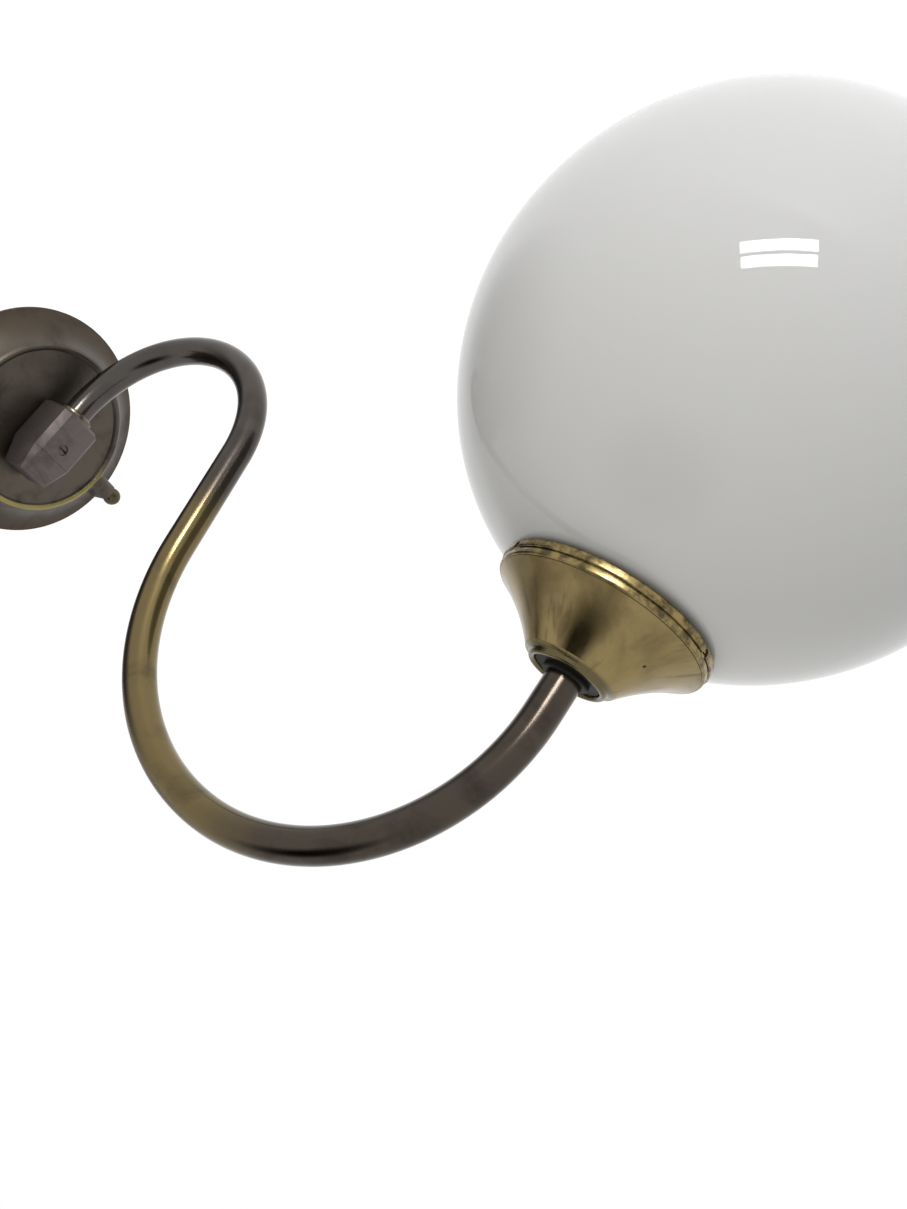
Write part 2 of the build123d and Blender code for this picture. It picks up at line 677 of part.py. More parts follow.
def make_side_screw(side):
    """Ball-headed screw through a side boss into an ear of the bracket."""
    head_r = SIDE_SCREW_HEAD_D / 2
    seat_x = side * boss_end
    centre_x = side * (boss_end + head_r * SIDE_SCREW_LIFT)
    ball = Pos(centre_x, SIDE_SCREW_Y, 0) * Sphere(head_r)
    ball -= Pos(seat_x - side * head_r, SIDE_SCREW_Y, 0) * Box(2 * head_r, 3 * head_r, 3 * head_r)
    tip_x = side * (ear_out - STRAP_T - NIPPLE_SPARE)
    screw = ball + rod(SIDE_SCREW_D / 2, (tip_x, SIDE_SCREW_Y, 0), (centre_x, SIDE_SCREW_Y, 0))
    slot = Pos(centre_x + side * head_r, SIDE_SCREW_Y, 0) * Box(2 * SLOT_DEPTH, SLOT_W, 3 * head_r)
    return screw - slot


def make_canopy_nipple():
    front = (0, canopy_nipple_front_y, 0)
    back = (0, canopy_nipple_back_y, 0)
    return pipe(NIPPLE_D / 2, NIPPLE_BORE_D / 2, front, back)


def make_canopy_washer():
    return pipe(WASHER_D / 2, NIPPLE_D / 2 + PASS_GAP, (0, canopy_back_y, 0), (0, canopy_nut_y, 0))


def make_canopy_nut():
    return hex_nut((0, canopy_nut_y, 0), (0, 1, 0))


def make_wall_flex():
    """Flex from the swivel plane, round into the canopy's threaded tube."""
    points = [(0, AXIS_Y, flex_split_z), (0, AXIS_Y, 0), (0, canopy_flex_end_y, 0)]
    return strand(points, FLEX_BEND_R - RUNNING_GAP / 5, FLEX_D / 2)


# ---------------------------------------------------------------- bracket and terminals
def make_wall_bracket():
    """Steel strap on the wall with two turned-up ears and tabs for the terminals."""
    strap = Pos(0, -STRAP_T / 2, 0) * Box(2 * ear_out, STRAP_T, STRAP_W)
    tab_h = TERMINAL_TAB_Z - EARTH_TAB_Z
    tab_z = (TERMINAL_TAB_Z + EARTH_TAB_Z) / 2
    strap += Pos(0, -STRAP_T / 2, tab_z) * Box(TAB_W, STRAP_T, tab_h)
    for side in (-1, 1):
        ear = Box(STRAP_T, EAR_RISE, EAR_W)
        strap += Pos(side * (ear_out - STRAP_T / 2), -EAR_RISE / 2, 0) * ear
        hole_x = side * WALL_HOLE_SPACING / 2
        strap -= rod(WALL_HOLE_D / 2, (hole_x, 1, 0), (hole_x, -STRAP_T - 1, 0))
    screw_line = [(side * 2 * ear_out, SIDE_SCREW_Y, 0) for side in (-1, 1)]
    strap -= rod(SIDE_SCREW_D / 2 + RUNNING_GAP, *screw_line)
    holes = [
        (CABLE_HOLE_D / 2, 0),
        (FIXING_SCREW_D / 2 + RUNNING_GAP, TERMINAL_Z + TERMINAL_H / 2),
        (SIDE_SCREW_D / 2 + RUNNING_GAP, EARTH_SCREW_Z),
    ]
    for radius, z in holes:
        strap -= rod(radius, (0, 1, z), (0, -STRAP_T - 1, z))
    return strap


def clamp_places():
    """Where the clamp screws stand on the terminal block: two on each pole."""
    quarter = TERMINAL_H / 4
    middle = TERMINAL_Z + TERMINAL_H / 2
    return [(x, middle + z) for x in (-POLE_X, POLE_X) for z in (-quarter, quarter)]


def make_terminal_block():
    front = -STRAP_T - TERMINAL_T
    middle_z = TERMINAL_Z + TERMINAL_H / 2
    block = Pos(0, -STRAP_T - TERMINAL_T / 2, middle_z) * Box(TERMINAL_W, TERMINAL_T, TERMINAL_H)
    for x in (-POLE_X, POLE_X):
        low = (x, sleeve_y, TERMINAL_Z - 1)
        block -= rod(SLEEVE_D / 2 + RUNNING_GAP, low, (x, sleeve_y, TERMINAL_Z + TERMINAL_H + 1))
    for x, z in clamp_places():
        block -= rod(CLAMP_SCREW_D / 2 + PASS_GAP, (x, front - 1, z), (x, sleeve_y, z))
    block -= rod(FIXING_SCREW_D / 2 + PASS_GAP, (0, front - 1, middle_z), (0, 0, middle_z))
    head_hole_r = FIXING_HEAD_D / 2 + PASS_GAP
    return block - rod(head_hole_r, (0, front - 1, middle_z), (0, front + SCREW_HEAD_H, middle_z))


def make_terminal_sleeves():
    """Brass sleeves inside the terminal block, one for each pole."""
    sleeves = []
    for x in (-POLE_X, POLE_X):
        low = (x, sleeve_y, TERMINAL_Z + SCREW_SINK)
        top = (x, sleeve_y, TERMINAL_Z + TERMINAL_H - SCREW_SINK)
        sleeve = pipe(SLEEVE_D / 2, SLEEVE_BORE_D / 2, low, top)
        for place_x, z in clamp_places():
            if place_x == x:
                hole_r = CLAMP_SCREW_D / 2 + RUNNING_GAP
                sleeve -= rod(hole_r, (x, sleeve_y - SLEEVE_D, z), (x, sleeve_y, z))
        sleeves.append(sleeve)
    return group(sleeves)


def make_clamp_screws():
    front = -STRAP_T - TERMINAL_T + SCREW_SINK
    tip = sleeve_y - CORE_D / 2 - SEAT_GAP
    screws = []
    for x, z in clamp_places():
        slot = Pos(x, front, z) * Box(2 * CLAMP_SCREW_D, SLOT_DEPTH, SLOT_W / 2)
        screws.append(rod(CLAMP_SCREW_D / 2, (x, front, z), (x, tip, z)) - slot)
    return group(screws)


def make_terminal_fixing_screw():
    middle_z = TERMINAL_Z + TERMINAL_H / 2
    front = -STRAP_T - TERMINAL_T
    head_front = front + SCREW_SINK
    head_back = front + SCREW_HEAD_H
    screw = rod(FIXING_HEAD_D / 2, (0, head_front, middle_z), (0, head_back, middle_z))
    screw += rod(FIXING_SCREW_D / 2, (0, head_back, middle_z), (0, -PASS_GAP, middle_z))
    return screw - Pos(0, head_front, middle_z) * Box(2 * FIXING_HEAD_D, SLOT_DEPTH, SLOT_W)


def lug_barrel_y():
    """Centre of the earth lug's barrel, which lies along the tab."""
    return -STRAP_T - CORE_D / 2 - LUG_T


def make_earth_lug():
    """Ring terminal with its barrel pointing up to the earth core."""
    tab_front = -STRAP_T
    ring = pipe(LUG_RING_R, SIDE_SCREW_D / 2 + PASS_GAP,
                (0, tab_front - LUG_T, EARTH_SCREW_Z), (0, tab_front, EARTH_SCREW_Z))
    barrel_y = lug_barrel_y()
    foot_z = EARTH_SCREW_Z + LUG_BARREL_FOOT
    top_z = foot_z + LUG_BARREL_H
    barrel = rod(CORE_D / 2 + LUG_T, (0, barrel_y, foot_z), (0, barrel_y, top_z))
    bore = rod(CORE_D / 2 + RUNNING_GAP, (0, barrel_y, foot_z + LUG_FLOOR), (0, barrel_y, top_z + 1))
    return ring + barrel - bore


def make_earth_screw():
    seat = -STRAP_T - LUG_T
    head_front = seat - SCREW_HEAD_H
    screw = rod(EARTH_HEAD_D / 2, (0, seat, EARTH_SCREW_Z), (0, head_front, EARTH_SCREW_Z))
    screw += rod(SIDE_SCREW_D / 2, (0, seat, EARTH_SCREW_Z), (0, -PASS_GAP, EARTH_SCREW_Z))
    return screw - Pos(0, head_front, EARTH_SCREW_Z) * Box(2 * EARTH_HEAD_D, SLOT_DEPTH, SLOT_W)


def make_wall_core(side):
    """Live or neutral core from the end of the flex up to its pole in the terminal block."""
    start_x = side * CORE_PITCH_R * cos(radians(WALL_CORE_RISE))
    start_z = CORE_PITCH_R * sin(radians(WALL_CORE_RISE))
    points = [
        (start_x, canopy_flex_end_y, start_z),
        (start_x, core_y, start_z),
        (start_x, core_y, NUT_AF / 2),
        (side * POLE_X, sleeve_y, TERMINAL_Z - CORE_LEAD),
        (side * POLE_X, sleeve_y, TERMINAL_Z + TERMINAL_H / 2),
    ]
    return strand(points, CORE_BEND_R, CORE_D / 2)


def make_wall_earth_core():
    """Earth core from the end of the flex down into its lug."""
    earth_y = lug_barrel_y()
    points = [
        (0, canopy_flex_end_y, -CORE_PITCH_R),
        (0, earth_y, -CORE_PITCH_R),
        (0, earth_y, EARTH_SCREW_Z + LUG_BARREL_FOOT + LUG_FLOOR + SEAT_GAP),
    ]
    return strand(points, CORE_BEND_R, CORE_D / 2)


# ---------------------------------------------------------------- all nodes
NODES = {
    "wall_bracket": make_wall_bracket,
    "terminal_block": make_terminal_block,
    "terminal_sleeves": make_terminal_sleeves,
    "terminal_clamp_screws": make_clamp_screws,
    "terminal_fixing_screw": make_terminal_fixing_screw,
    "earth_lug": make_earth_lug,
    "earth_screw": make_earth_screw,
    "wall_core_live": lambda: make_wall_core(-1),
    "wall_core_neutral": lambda: make_wall_core(1),
    "wall_core_earth": make_wall_earth_core,
    "wall_side_flex": make_wall_flex,
    "canopy": make_canopy,
    "canopy_screw_left": lambda: make_side_screw(-1),
    "canopy_screw_right": lambda: make_side_screw(1),
    "canopy_nipple": make_canopy_nipple,
    "canopy_lock_washer": make_canopy_washer,
    "canopy_nut": make_canopy_nut,
    "swivel_block": make_swivel_block,
    "swivel_block_cap": make_swivel_block_cap,
    "swivel_grub_screw": make_swivel_grub_screw,
    "swivel_spigot": make_swivel_spigot,
    "swivel_collar": make_swivel_collar,
    "arm_tube": make_arm_tube,
    "arm_flex": make_arm_flex,
    "lamp_nipple": make_lamp_nipple,
    "neck_collar": make_neck_collar,
    "neck_seat_ring": make_seat_ring,
    "gallery_shell": make_gallery_shell,
    "gallery_band": make_gallery_band,
    "gallery_lock_washer": make_gallery_washer,
    "gallery_nut": make_gallery_nut,
    "glass_gasket": make_glass_gasket,
    "glass_globe": make_globe,
    "lampholder_cap": make_lampholder_cap,
    "lampholder_sleeve": make_lampholder_sleeve,
    "lampholder_base": make_lampholder_base,
    "lampholder_terminals": make_lampholder_terminals,
    "screw_shell": make_screw_shell,
    "centre_contact": make_centre_contact,
    "bulb_tip": make_bulb_tip,
    "bulb_insulator": make_bulb_insulator,
    "bulb_cap": make_bulb_cap,
    "bulb_housing": make_bulb_housing,
    "bulb_light_board": make_bulb_light_board,
    "bulb_diffuser": make_bulb_diffuser,
}
for number, angle in enumerate(GALLERY_SCREW_ANGLES, start=1):
    NODES[f"gallery_screw_{number}"] = lambda angle=angle: make_gallery_screw(angle)
for core, angle in CORE_ANGLES.items():
    NODES[f"lamp_core_{core}"] = lambda angle=angle: make_lamp_core(angle)


def main():
    os.makedirs("parts", exist_ok=True)
    for name, make in NODES.items():
        shape = make()
        shape.label = name
        export_step(shape, f"parts/{name}.step")
    print("lamp axis y", round(lamp_y, 2))
    print("ball centre z", round(globe_z, 2))
    print("gallery screws z", round(gallery_screw_z, 2))


main()
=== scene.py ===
import bpy
import bmesh
import json
from math import cos, pi, radians, sin, sqrt
from mathutils import Matrix, Vector
from mathutils.noise import noise as noise_at

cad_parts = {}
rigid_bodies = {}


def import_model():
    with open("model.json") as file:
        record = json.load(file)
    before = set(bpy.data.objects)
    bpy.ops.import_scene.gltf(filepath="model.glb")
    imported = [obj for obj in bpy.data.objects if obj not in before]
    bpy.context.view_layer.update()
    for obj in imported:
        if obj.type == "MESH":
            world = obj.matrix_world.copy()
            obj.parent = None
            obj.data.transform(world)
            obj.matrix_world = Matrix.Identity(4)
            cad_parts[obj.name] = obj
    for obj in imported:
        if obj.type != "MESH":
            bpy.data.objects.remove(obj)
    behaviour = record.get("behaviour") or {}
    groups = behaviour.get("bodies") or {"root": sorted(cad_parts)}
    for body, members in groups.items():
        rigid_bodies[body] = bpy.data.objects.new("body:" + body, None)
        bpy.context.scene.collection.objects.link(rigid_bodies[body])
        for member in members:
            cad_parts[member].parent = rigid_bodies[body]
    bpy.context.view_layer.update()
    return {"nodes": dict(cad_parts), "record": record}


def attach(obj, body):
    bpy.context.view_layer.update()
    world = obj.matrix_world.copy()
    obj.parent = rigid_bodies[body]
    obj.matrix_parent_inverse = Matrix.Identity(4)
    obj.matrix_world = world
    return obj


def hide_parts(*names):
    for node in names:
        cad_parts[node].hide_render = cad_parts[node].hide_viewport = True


for leftover in list(bpy.data.objects):
    bpy.data.objects.remove(leftover)
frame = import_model()
nodes = frame["nodes"]

# ---------------------------------------------------------------- sizes in metres, angles in degrees
MM = 0.001
LAMP_Y = -309.01 * MM
LAMP_AXIS = (0.0, LAMP_Y, 0.0)
ROUND_STEPS = 192
BALL_Z = -118.09 * MM
BALL_R = 100.0 * MM
BALL_WALL = 2.5 * MM
BALL_NECK_R = 30.0 * MM
BALL_LIP_R = 32.5 * MM
BALL_NECK_H = 3.2 * MM
BALL_LIP_H = 2.4 * MM

WEB_TOP_Z = -2.3 * MM
TUBE_R = 6.35 * MM
TUBE_WALL = 1.3 * MM
TUBE_STEP = 0.0015
TUBE_SIDES = 64
TUBE_TOP_Z = -6.4 * MM
ARCH_END_Z = 15.4013 * MM
ARCH_FRONT_R = 83.0 * MM
ARCH_BACK_R = 93.5 * MM
RUN_L = 46.0 * MM
UBEND_R = 51.8 * MM
UBEND_Z = -15.7 * MM
LEAN = 9.8

NECK_LIP_Z = 2.0 * MM
NECK_R = 14.2 * MM
NECK_WALL = 2.4 * MM
NECK_SHOULDER = 2.0 * MM
WEB_HOLE_R = 5.2 * MM
WEB_LOW_Z = -3.5 * MM
FLARE_TOP = (16.4 * MM, -0.6 * MM)
FLARE_LOW = (36.7 * MM, -18.0 * MM)
FLARE_SAG = 1.3 * MM
FLARE_WALL = 1.0 * MM
KNOCK_DEPTH = 0.25 * MM
KNOCK_SIZE = 9 * MM
BAND_TOP_Z = -18.0 * MM
BAND_STEP_Z = -20.6 * MM
BAND_LOW_Z = -23.6 * MM
BAND_BORE_R = 34.2 * MM
BAND_UPPER_R = 37.5 * MM
BAND_R = 38.1 * MM
BAND_SCREW_Z = -21.1 * MM
BAND_SCREW_R = 1.55 * MM
BAND_SCREW_ANGLES = (40.0, 160.0, 280.0)

CANOPY_R = 54.0 * MM
CANOPY_HOLE_R = 5.2 * MM
CANOPY_FACE = 12.0 * MM
CANOPY_WALL = 1.2 * MM
CANOPY_RIM = 1.2 * MM
BEAD_IN_R = 36.8 * MM
BEAD_OUT_R = 40.4 * MM
BEAD_H = 1.4 * MM
COVE_SAG = 1.8 * MM
BOSS_R = 4.5 * MM
BOSS_END = 53.0 * MM
BOSS_END_SOFT = 0.35 * MM
BOSS_BLEND = 2.4 * MM
BOSS_SINK = 5 * MM
SIDE_SCREW_RISE = 7.6 * MM
SIDE_HOLE_R = 2.2 * MM

CAMERA_PLACE = (0.2759, -0.4406, 0.0892)
CAMERA_RIGHT = Vector((-0.322151, -0.771669, -0.548402))
CAMERA_DOWN = Vector((-0.501310, -0.352344, 0.790280))
CAMERA_AHEAD = Vector((-0.803061, 0.529509, -0.273338))
CAMERA_LENS = 29.777
FLOOR_Z = -0.6
FLOOR_REACH = 40.0
FLOOR_SHADE = 0.6
FLOOR_GLOW = 0.72
WORLD_LIGHT = 0.54

TUBE_GOLD_Y = -0.258
TUBE_GOLD_Z = -0.014
TUBE_GREY_Y = (-0.18, -0.07)
# stretch of the canopy bead that is rubbed bright and carries a painted highlight
CANOPY_RUBBED_AND_LIT = (-0.002, 0.016)
# radii over which the painted shade round the gallery neck fades out
NECK_SHADE_R = (0.0146, 0.0172)
FLARE_PIT_AT = (0.0074, -0.3326, -0.0094)
FLARE_PIT_R = (0.0004, 0.0008)


# ---------------------------------------------------------------- shader groups
def new_group(name, inputs, outputs):
    """Empty shader node group with named sockets, and its two end nodes."""
    group = bpy.data.node_groups.new(name, "ShaderNodeTree")
    for socket, kind, value in inputs:
        made = group.interface.new_socket(socket, in_out="INPUT", socket_type=kind)
        if value is not None:
            made.default_value = value
    for socket, kind in outputs:
        group.interface.new_socket(socket, in_out="OUTPUT", socket_type=kind)
    return group, group.nodes.new("NodeGroupInput"), group.nodes.new("NodeGroupOutput")


def fill(tree, target, links):
    """A node's inputs, each set to a value or linked to another node's output."""
    for socket, value in links.items():
        if isinstance(value, bpy.types.NodeSocket):
            tree.links.new(value, target.inputs[socket])
        else:
            target.inputs[socket].default_value = value


def node(tree, kind, links, **settings):
    """New node with its settings and its inputs."""
    made = tree.nodes.new(kind)
    for key, value in settings.items():
        setattr(made, key, value)
    fill(tree, made, links)
    return made


def maths(tree, operation, first, second):
    """One step of arithmetic on two values."""
    return node(tree, "ShaderNodeMath", {0: first, 1: second}, operation=operation).outputs[0]


def remap(tree, value, low, high, to_low=0.0, to_high=1.0):
    """Smooth ramp of a value, from the stretch low to high onto another."""
    made = node(tree, "ShaderNodeMapRange", {0: value, 1: low, 2: high, 3: to_low, 4: to_high},
                interpolation_type="SMOOTHSTEP")
    return made.outputs[0]


def noise(tree, vector, scale, detail=4.0, rough=0.55, warp=0.0):
    """Cloudy noise around one half."""
    made = node(tree, "ShaderNodeTexNoise",
                {"Vector": vector, "Scale": scale, "Detail": detail, "Roughness": rough, "Distortion": warp})
    return made.outputs["Fac"]


def mix_colour(tree, share, first, second):
    """The first colour, with a share of the second."""
    made = node(tree, "ShaderNodeMix", {0: share, 6: first, 7: second}, data_type="RGBA")
    return made.outputs[2]


def distance_from(tree, place, spot):
    """Distance of each point of a surface from one spot."""
    return node(tree, "ShaderNodeVectorMath", {0: place, 1: spot}, operation="DISTANCE").outputs["Value"]


def make_patina_group():
    """Tarnish in clouds, small dark spots and a fine rubbed grain on old brass."""
    group, start, end = new_group(
        "old_brass_patina",
        [("Vector", "NodeSocketVector", None), ("Bright", "NodeSocketColor", None),
         ("Dull", "NodeSocketColor", None), ("Spot", "NodeSocketColor", None),
         ("Cloud Scale", "NodeSocketFloat", 40.0), ("Cover", "NodeSocketFloat", 0.5),
         ("Spot Scale", "NodeSocketFloat", 260.0), ("Spot Cover", "NodeSocketFloat", 0.3),
         ("Smooth", "NodeSocketFloat", 0.22), ("Rough", "NodeSocketFloat", 0.42)],
        [("Color", "NodeSocketColor"), ("Roughness", "NodeSocketFloat"), ("Height", "NodeSocketFloat")])
    source = start.outputs
    cloud = noise(group, source["Vector"], source["Cloud Scale"], 5.0, 0.6, 0.6)
    low = maths(group, "SUBTRACT", 0.72, maths(group, "MULTIPLY", source["Cover"], 0.5))
    high = maths(group, "ADD", low, 0.32)
    dull = remap(group, cloud, low, high)
    speck = noise(group, source["Vector"], source["Spot Scale"], 3.0, 0.7)
    near = maths(group, "SUBTRACT", 0.86, maths(group, "MULTIPLY", source["Spot Cover"], 0.4))
    spot = remap(group, speck, near, maths(group, "ADD", near, 0.06))
    base = mix_colour(group, dull, source["Bright"], source["Dull"])
    colour = mix_colour(group, spot, base, source["Spot"])
    fine = noise(group, source["Vector"], 900.0, 2.0, 0.5)
    span = maths(group, "SUBTRACT", source["Rough"], source["Smooth"])
    matt = maths(group, "ADD", maths(group, "MULTIPLY", dull, 0.6), maths(group, "MULTIPLY", fine, 0.5))
    rough = maths(group, "ADD", source["Smooth"], maths(group, "MULTIPLY", matt, span))
    height = maths(group, "SUBTRACT", maths(group, "MULTIPLY", fine, 0.25), spot)
    fill(group, end, {"Color": colour, "Roughness": rough, "Height": height})
    return group


def make_lines_group():
    """Fine lines left by spinning or drawing, from one running length."""
    group, start, end = new_group(
        "running_lines",
        [("Along", "NodeSocketFloat", 0.0), ("Scale", "NodeSocketFloat", 900.0)],
        [("Height", "NodeSocketFloat")])
    lines = node(group, "ShaderNodeTexNoise",
                 {"W": start.outputs["Along"], "Scale": start.outputs["Scale"], "Detail": 3.0},
                 noise_dimensions="1D")
    fill(group, end, {"Height": lines.outputs["Fac"]})
    return group


def make_zone_group():
    """Mask of the stretch between two values, with an edge broken by noise."""
    group, start, end = new_group(
        "worn_zone",
        [("Value", "NodeSocketFloat", 0.0), ("Low", "NodeSocketFloat", 0.0),
         ("High", "NodeSocketFloat", 1.0), ("Soft", "NodeSocketFloat", 0.1),
         ("Vector", "NodeSocketVector", None), ("Breakup", "NodeSocketFloat", 0.0),
         ("Breakup Scale", "NodeSocketFloat", 60.0)],
        [("Mask", "NodeSocketFloat")])
    source = start.outputs
    shift = maths(group, "SUBTRACT", noise(group, source["Vector"], source["Breakup Scale"]), 0.5)
    value = maths(group, "ADD", source["Value"], maths(group, "MULTIPLY", shift, source["Breakup"]))
    rise = remap(group, value, source["Low"], maths(group, "ADD", source["Low"], source["Soft"]))
    fall_from = maths(group, "SUBTRACT", source["High"], source["Soft"])
    fall = remap(group, value, fall_from, source["High"], 1.0, 0.0)
    fill(group, end, {"Mask": maths(group, "MULTIPLY", rise, fall)})
    return group


def make_grain_group():
    """Small even grain of moulded, cast or coated surfaces."""
    group, start, end = new_group(
        "fine_grain",
        [("Vector", "NodeSocketVector", None), ("Scale", "NodeSocketFloat", 700.0),
         ("Base", "NodeSocketColor", None), ("Shade", "NodeSocketFloat", 0.08),
         ("Smooth", "NodeSocketFloat", 0.35), ("Rough", "NodeSocketFloat", 0.5)],
        [("Color", "NodeSocketColor"), ("Roughness", "NodeSocketFloat"), ("Height", "NodeSocketFloat")])
    source = start.outputs
    fine = noise(group, source["Vector"], source["Scale"], 3.0)
    broad = noise(group, source["Vector"], 45.0, 3.0)
    share = maths(group, "MULTIPLY", broad, source["Shade"])
    darker = mix_colour(group, share, source["Base"], (0.0, 0.0, 0.0, 1.0))
    span = maths(group, "SUBTRACT", source["Rough"], source["Smooth"])
    rough = maths(group, "ADD", source["Smooth"], maths(group, "MULTIPLY", broad, span))
    fill(group, end, {"Color": darker, "Roughness": rough, "Height": fine})
    return group


PATINA = make_patina_group()
LINES = make_lines_group()
ZONE = make_zone_group()
GRAIN = make_grain_group()


# ---------------------------------------------------------------- materials
def new_material(name):
    """Empty material with its shader, and the object coordinates."""
    material = bpy.data.materials.new(name)
    material.use_nodes = True
    tree = material.node_tree
    tree.nodes.clear()
    output = tree.nodes.new("ShaderNodeOutputMaterial")
    shader = tree.nodes.new("ShaderNodeBsdfPrincipled")
    tree.links.new(shader.outputs[0], output.inputs[0])
    place = tree.nodes.new("ShaderNodeTexCoord").outputs["Object"]
    return material, tree, shader, place


def placed(tree, group, links):
    """A shader group put into a material with its own values."""
    return node(tree, "ShaderNodeGroup", links, node_tree=group).outputs


def rgba(colour):
    """Colour as a socket takes it, fully solid."""
    return (*colour, 1.0)


def bumped(tree, shader, height, distance, strength=0.5):
    """Relief on a shader, from a height over the surface and its depth in metres."""
    bump = node(tree, "ShaderNodeBump", {"Height": height, "Distance": distance, "Strength": strength})
    fill(tree, shader, {"Normal": bump.outputs[0]})


def metal(name, bright, dull, spot, cloud, cover, spots, spot_scale=260.0,
          smooth=0.22, rough=0.42, depth=0.00004):
    """Old metal with clouds of tarnish and small dark spots."""
    material, tree, shader, place = new_material(name)
    finish = placed(tree, PATINA, {
        "Vector": place, "Bright": rgba(bright), "Dull": rgba(dull), "Spot": rgba(spot),
        "Cloud Scale": cloud, "Cover": cover, "Spot Scale": spot_scale, "Spot Cover": spots,
        "Smooth": smooth, "Rough": rough})
    fill(tree, shader, {"Metallic": 1.0, "Base Color": finish["Color"], "Roughness": finish["Roughness"]})
    bumped(tree, shader, finish["Height"], depth)
    return material


def moulded(name, colour, shade, smooth, rough, scale=700.0, coat=0.0, gloss=0.5):
    """Plastic, rubber, ceramic or coated surface with a small even grain."""
    material, tree, shader, place = new_material(name)
    finish = placed(tree, GRAIN, {
        "Vector": place, "Base": rgba(colour), "Shade": shade, "Scale": scale,
        "Smooth": smooth, "Rough": rough})
    fill(tree, shader, {
        "Coat Weight": coat, "Specular IOR Level": gloss,
        "Base Color": finish["Color"], "Roughness": finish["Roughness"]})
    bumped(tree, shader, finish["Height"], 0.00002)
    return material


def opal_glass():
    """White opal glass: smooth, glossy, with a very slight milky unevenness, and painted shade that darkens
    and warms it towards the mouth.
    """
    material, tree, shader, place = new_material("opal_glass")
    milk = noise(tree, place, 7.0, 2.0, 0.4)
    height = node(tree, "ShaderNodeSeparateXYZ", {0: place}).outputs[2]
    # painted shade: the glass turns darker and warmer towards the mouth, under the gallery
    mouth_shade = remap(tree, height, BALL_Z - 0.09, BALL_Z + 0.1)
    clear = mix_colour(tree, milk, rgba((0.60, 0.60, 0.60)), rgba((0.64, 0.64, 0.64)))
    colour = mix_colour(tree, mouth_shade, clear, rgba((0.54, 0.535, 0.515)))
    rough = remap(tree, noise(tree, place, 60.0, 2.0), 0.3, 0.7, 0.02, 0.045)
    fill(tree, shader, {"Base Color": colour, "Roughness": rough, "IOR": 1.38})
    bumped(tree, shader, noise(tree, place, 16.0, 1.0), 0.0004, 0.12)
    return material


def tube_bronze():
    """Brown patina on the tube, worn through to gold where it is handled."""
    material, tree, shader, place = new_material("tube_bronze")
    parts = node(tree, "ShaderNodeSeparateXYZ", {0: place}).outputs
    past_front = placed(tree, ZONE, {
        "Value": parts[1], "Low": TUBE_GOLD_Y, "High": 0.0, "Soft": 0.04,
        "Vector": place, "Breakup": 0.024, "Breakup Scale": 30.0})["Mask"]
    above_run = placed(tree, ZONE, {
        "Value": parts[2], "Low": TUBE_GOLD_Z, "High": 0.3, "Soft": 0.03,
        "Vector": place, "Breakup": 0.02, "Breakup Scale": 30.0})["Mask"]
    gold = maths(tree, "MULTIPLY", past_front, above_run)
    brown = placed(tree, PATINA, {
        "Vector": place, "Bright": rgba((0.064, 0.051, 0.04)), "Dull": rgba((0.034, 0.026, 0.02)),
        "Spot": rgba((0.02, 0.015, 0.012)), "Cloud Scale": 60.0, "Cover": 0.6,
        "Spot Cover": 0.25, "Smooth": 0.14, "Rough": 0.27})
    worn = placed(tree, PATINA, {
        "Vector": place, "Bright": rgba((0.153, 0.114, 0.048)), "Dull": rgba((0.08, 0.061, 0.033)),
        "Spot": rgba((0.04, 0.03, 0.018)), "Cloud Scale": 45.0, "Cover": 0.5,
        "Spot Cover": 0.25, "Smooth": 0.15, "Rough": 0.27})
    near_wall = remap(tree, parts[1], *TUBE_GREY_Y, 0.0, 0.6)
    greyed = mix_colour(tree, near_wall, brown["Color"], rgba((0.085, 0.08, 0.076)))
    colour = mix_colour(tree, gold, greyed, worn["Color"])
    brown_rough = maths(tree, "MULTIPLY", brown["Roughness"], maths(tree, "SUBTRACT", 1.0, gold))
    rough = maths(tree, "ADD", brown_rough, maths(tree, "MULTIPLY", worn["Roughness"], gold))
    fill(tree, shader, {
        "Metallic": 1.0, "Base Color": colour, "Roughness": rough,
        "Coat Weight": 0.18, "Coat Roughness": 0.14})
    bumped(tree, shader, brown["Height"], 0.000018)
    return material


def canopy_bronze():
    """Dull grey-brown cover whose raised bead is rubbed bright on one side, partly wear and partly a painted
    highlight.
    """
    material, tree, shader, place = new_material("canopy_bronze")
    parts = node(tree, "ShaderNodeSeparateXYZ", {0: place}).outputs
    rise = maths(tree, "MULTIPLY", parts[1], -1.0)
    bead = placed(tree, ZONE, {
        "Value": rise, "Low": CANOPY_FACE + 0.00075, "High": 0.03, "Soft": 0.0004,
        "Vector": place, "Breakup": 0.0005, "Breakup Scale": 120.0})["Mask"]
    # the bead's bright line is partly rubbed wear and partly a painted highlight, kept to one side of the
    # cover
    highlit_rubbed_side = maths(tree, "SUBTRACT", parts[2], maths(tree, "MULTIPLY", parts[0], 0.25))
    rubbed = maths(tree, "MULTIPLY", bead, remap(tree, highlit_rubbed_side, *CANOPY_RUBBED_AND_LIT))
    finish = placed(tree, PATINA, {
        "Vector": place, "Bright": rgba((0.096, 0.083, 0.067)), "Dull": rgba((0.057, 0.047, 0.038)),
        "Spot": rgba((0.03, 0.024, 0.02)), "Cloud Scale": 55.0, "Cover": 0.6,
        "Spot Cover": 0.35, "Smooth": 0.34, "Rough": 0.55})
    flank = remap(tree, rise, 0.003, CANOPY_FACE, 0.6, 0.0)
    browned = mix_colour(tree, flank, finish["Color"], rgba((0.058, 0.042, 0.03)))
    colour = mix_colour(tree, rubbed, browned, rgba((0.26, 0.215, 0.086)))
    fill(tree, shader, {"Metallic": 1.0, "Base Color": colour, "Roughness": finish["Roughness"]})
    bumped(tree, shader, finish["Height"], 0.00005)
    return material


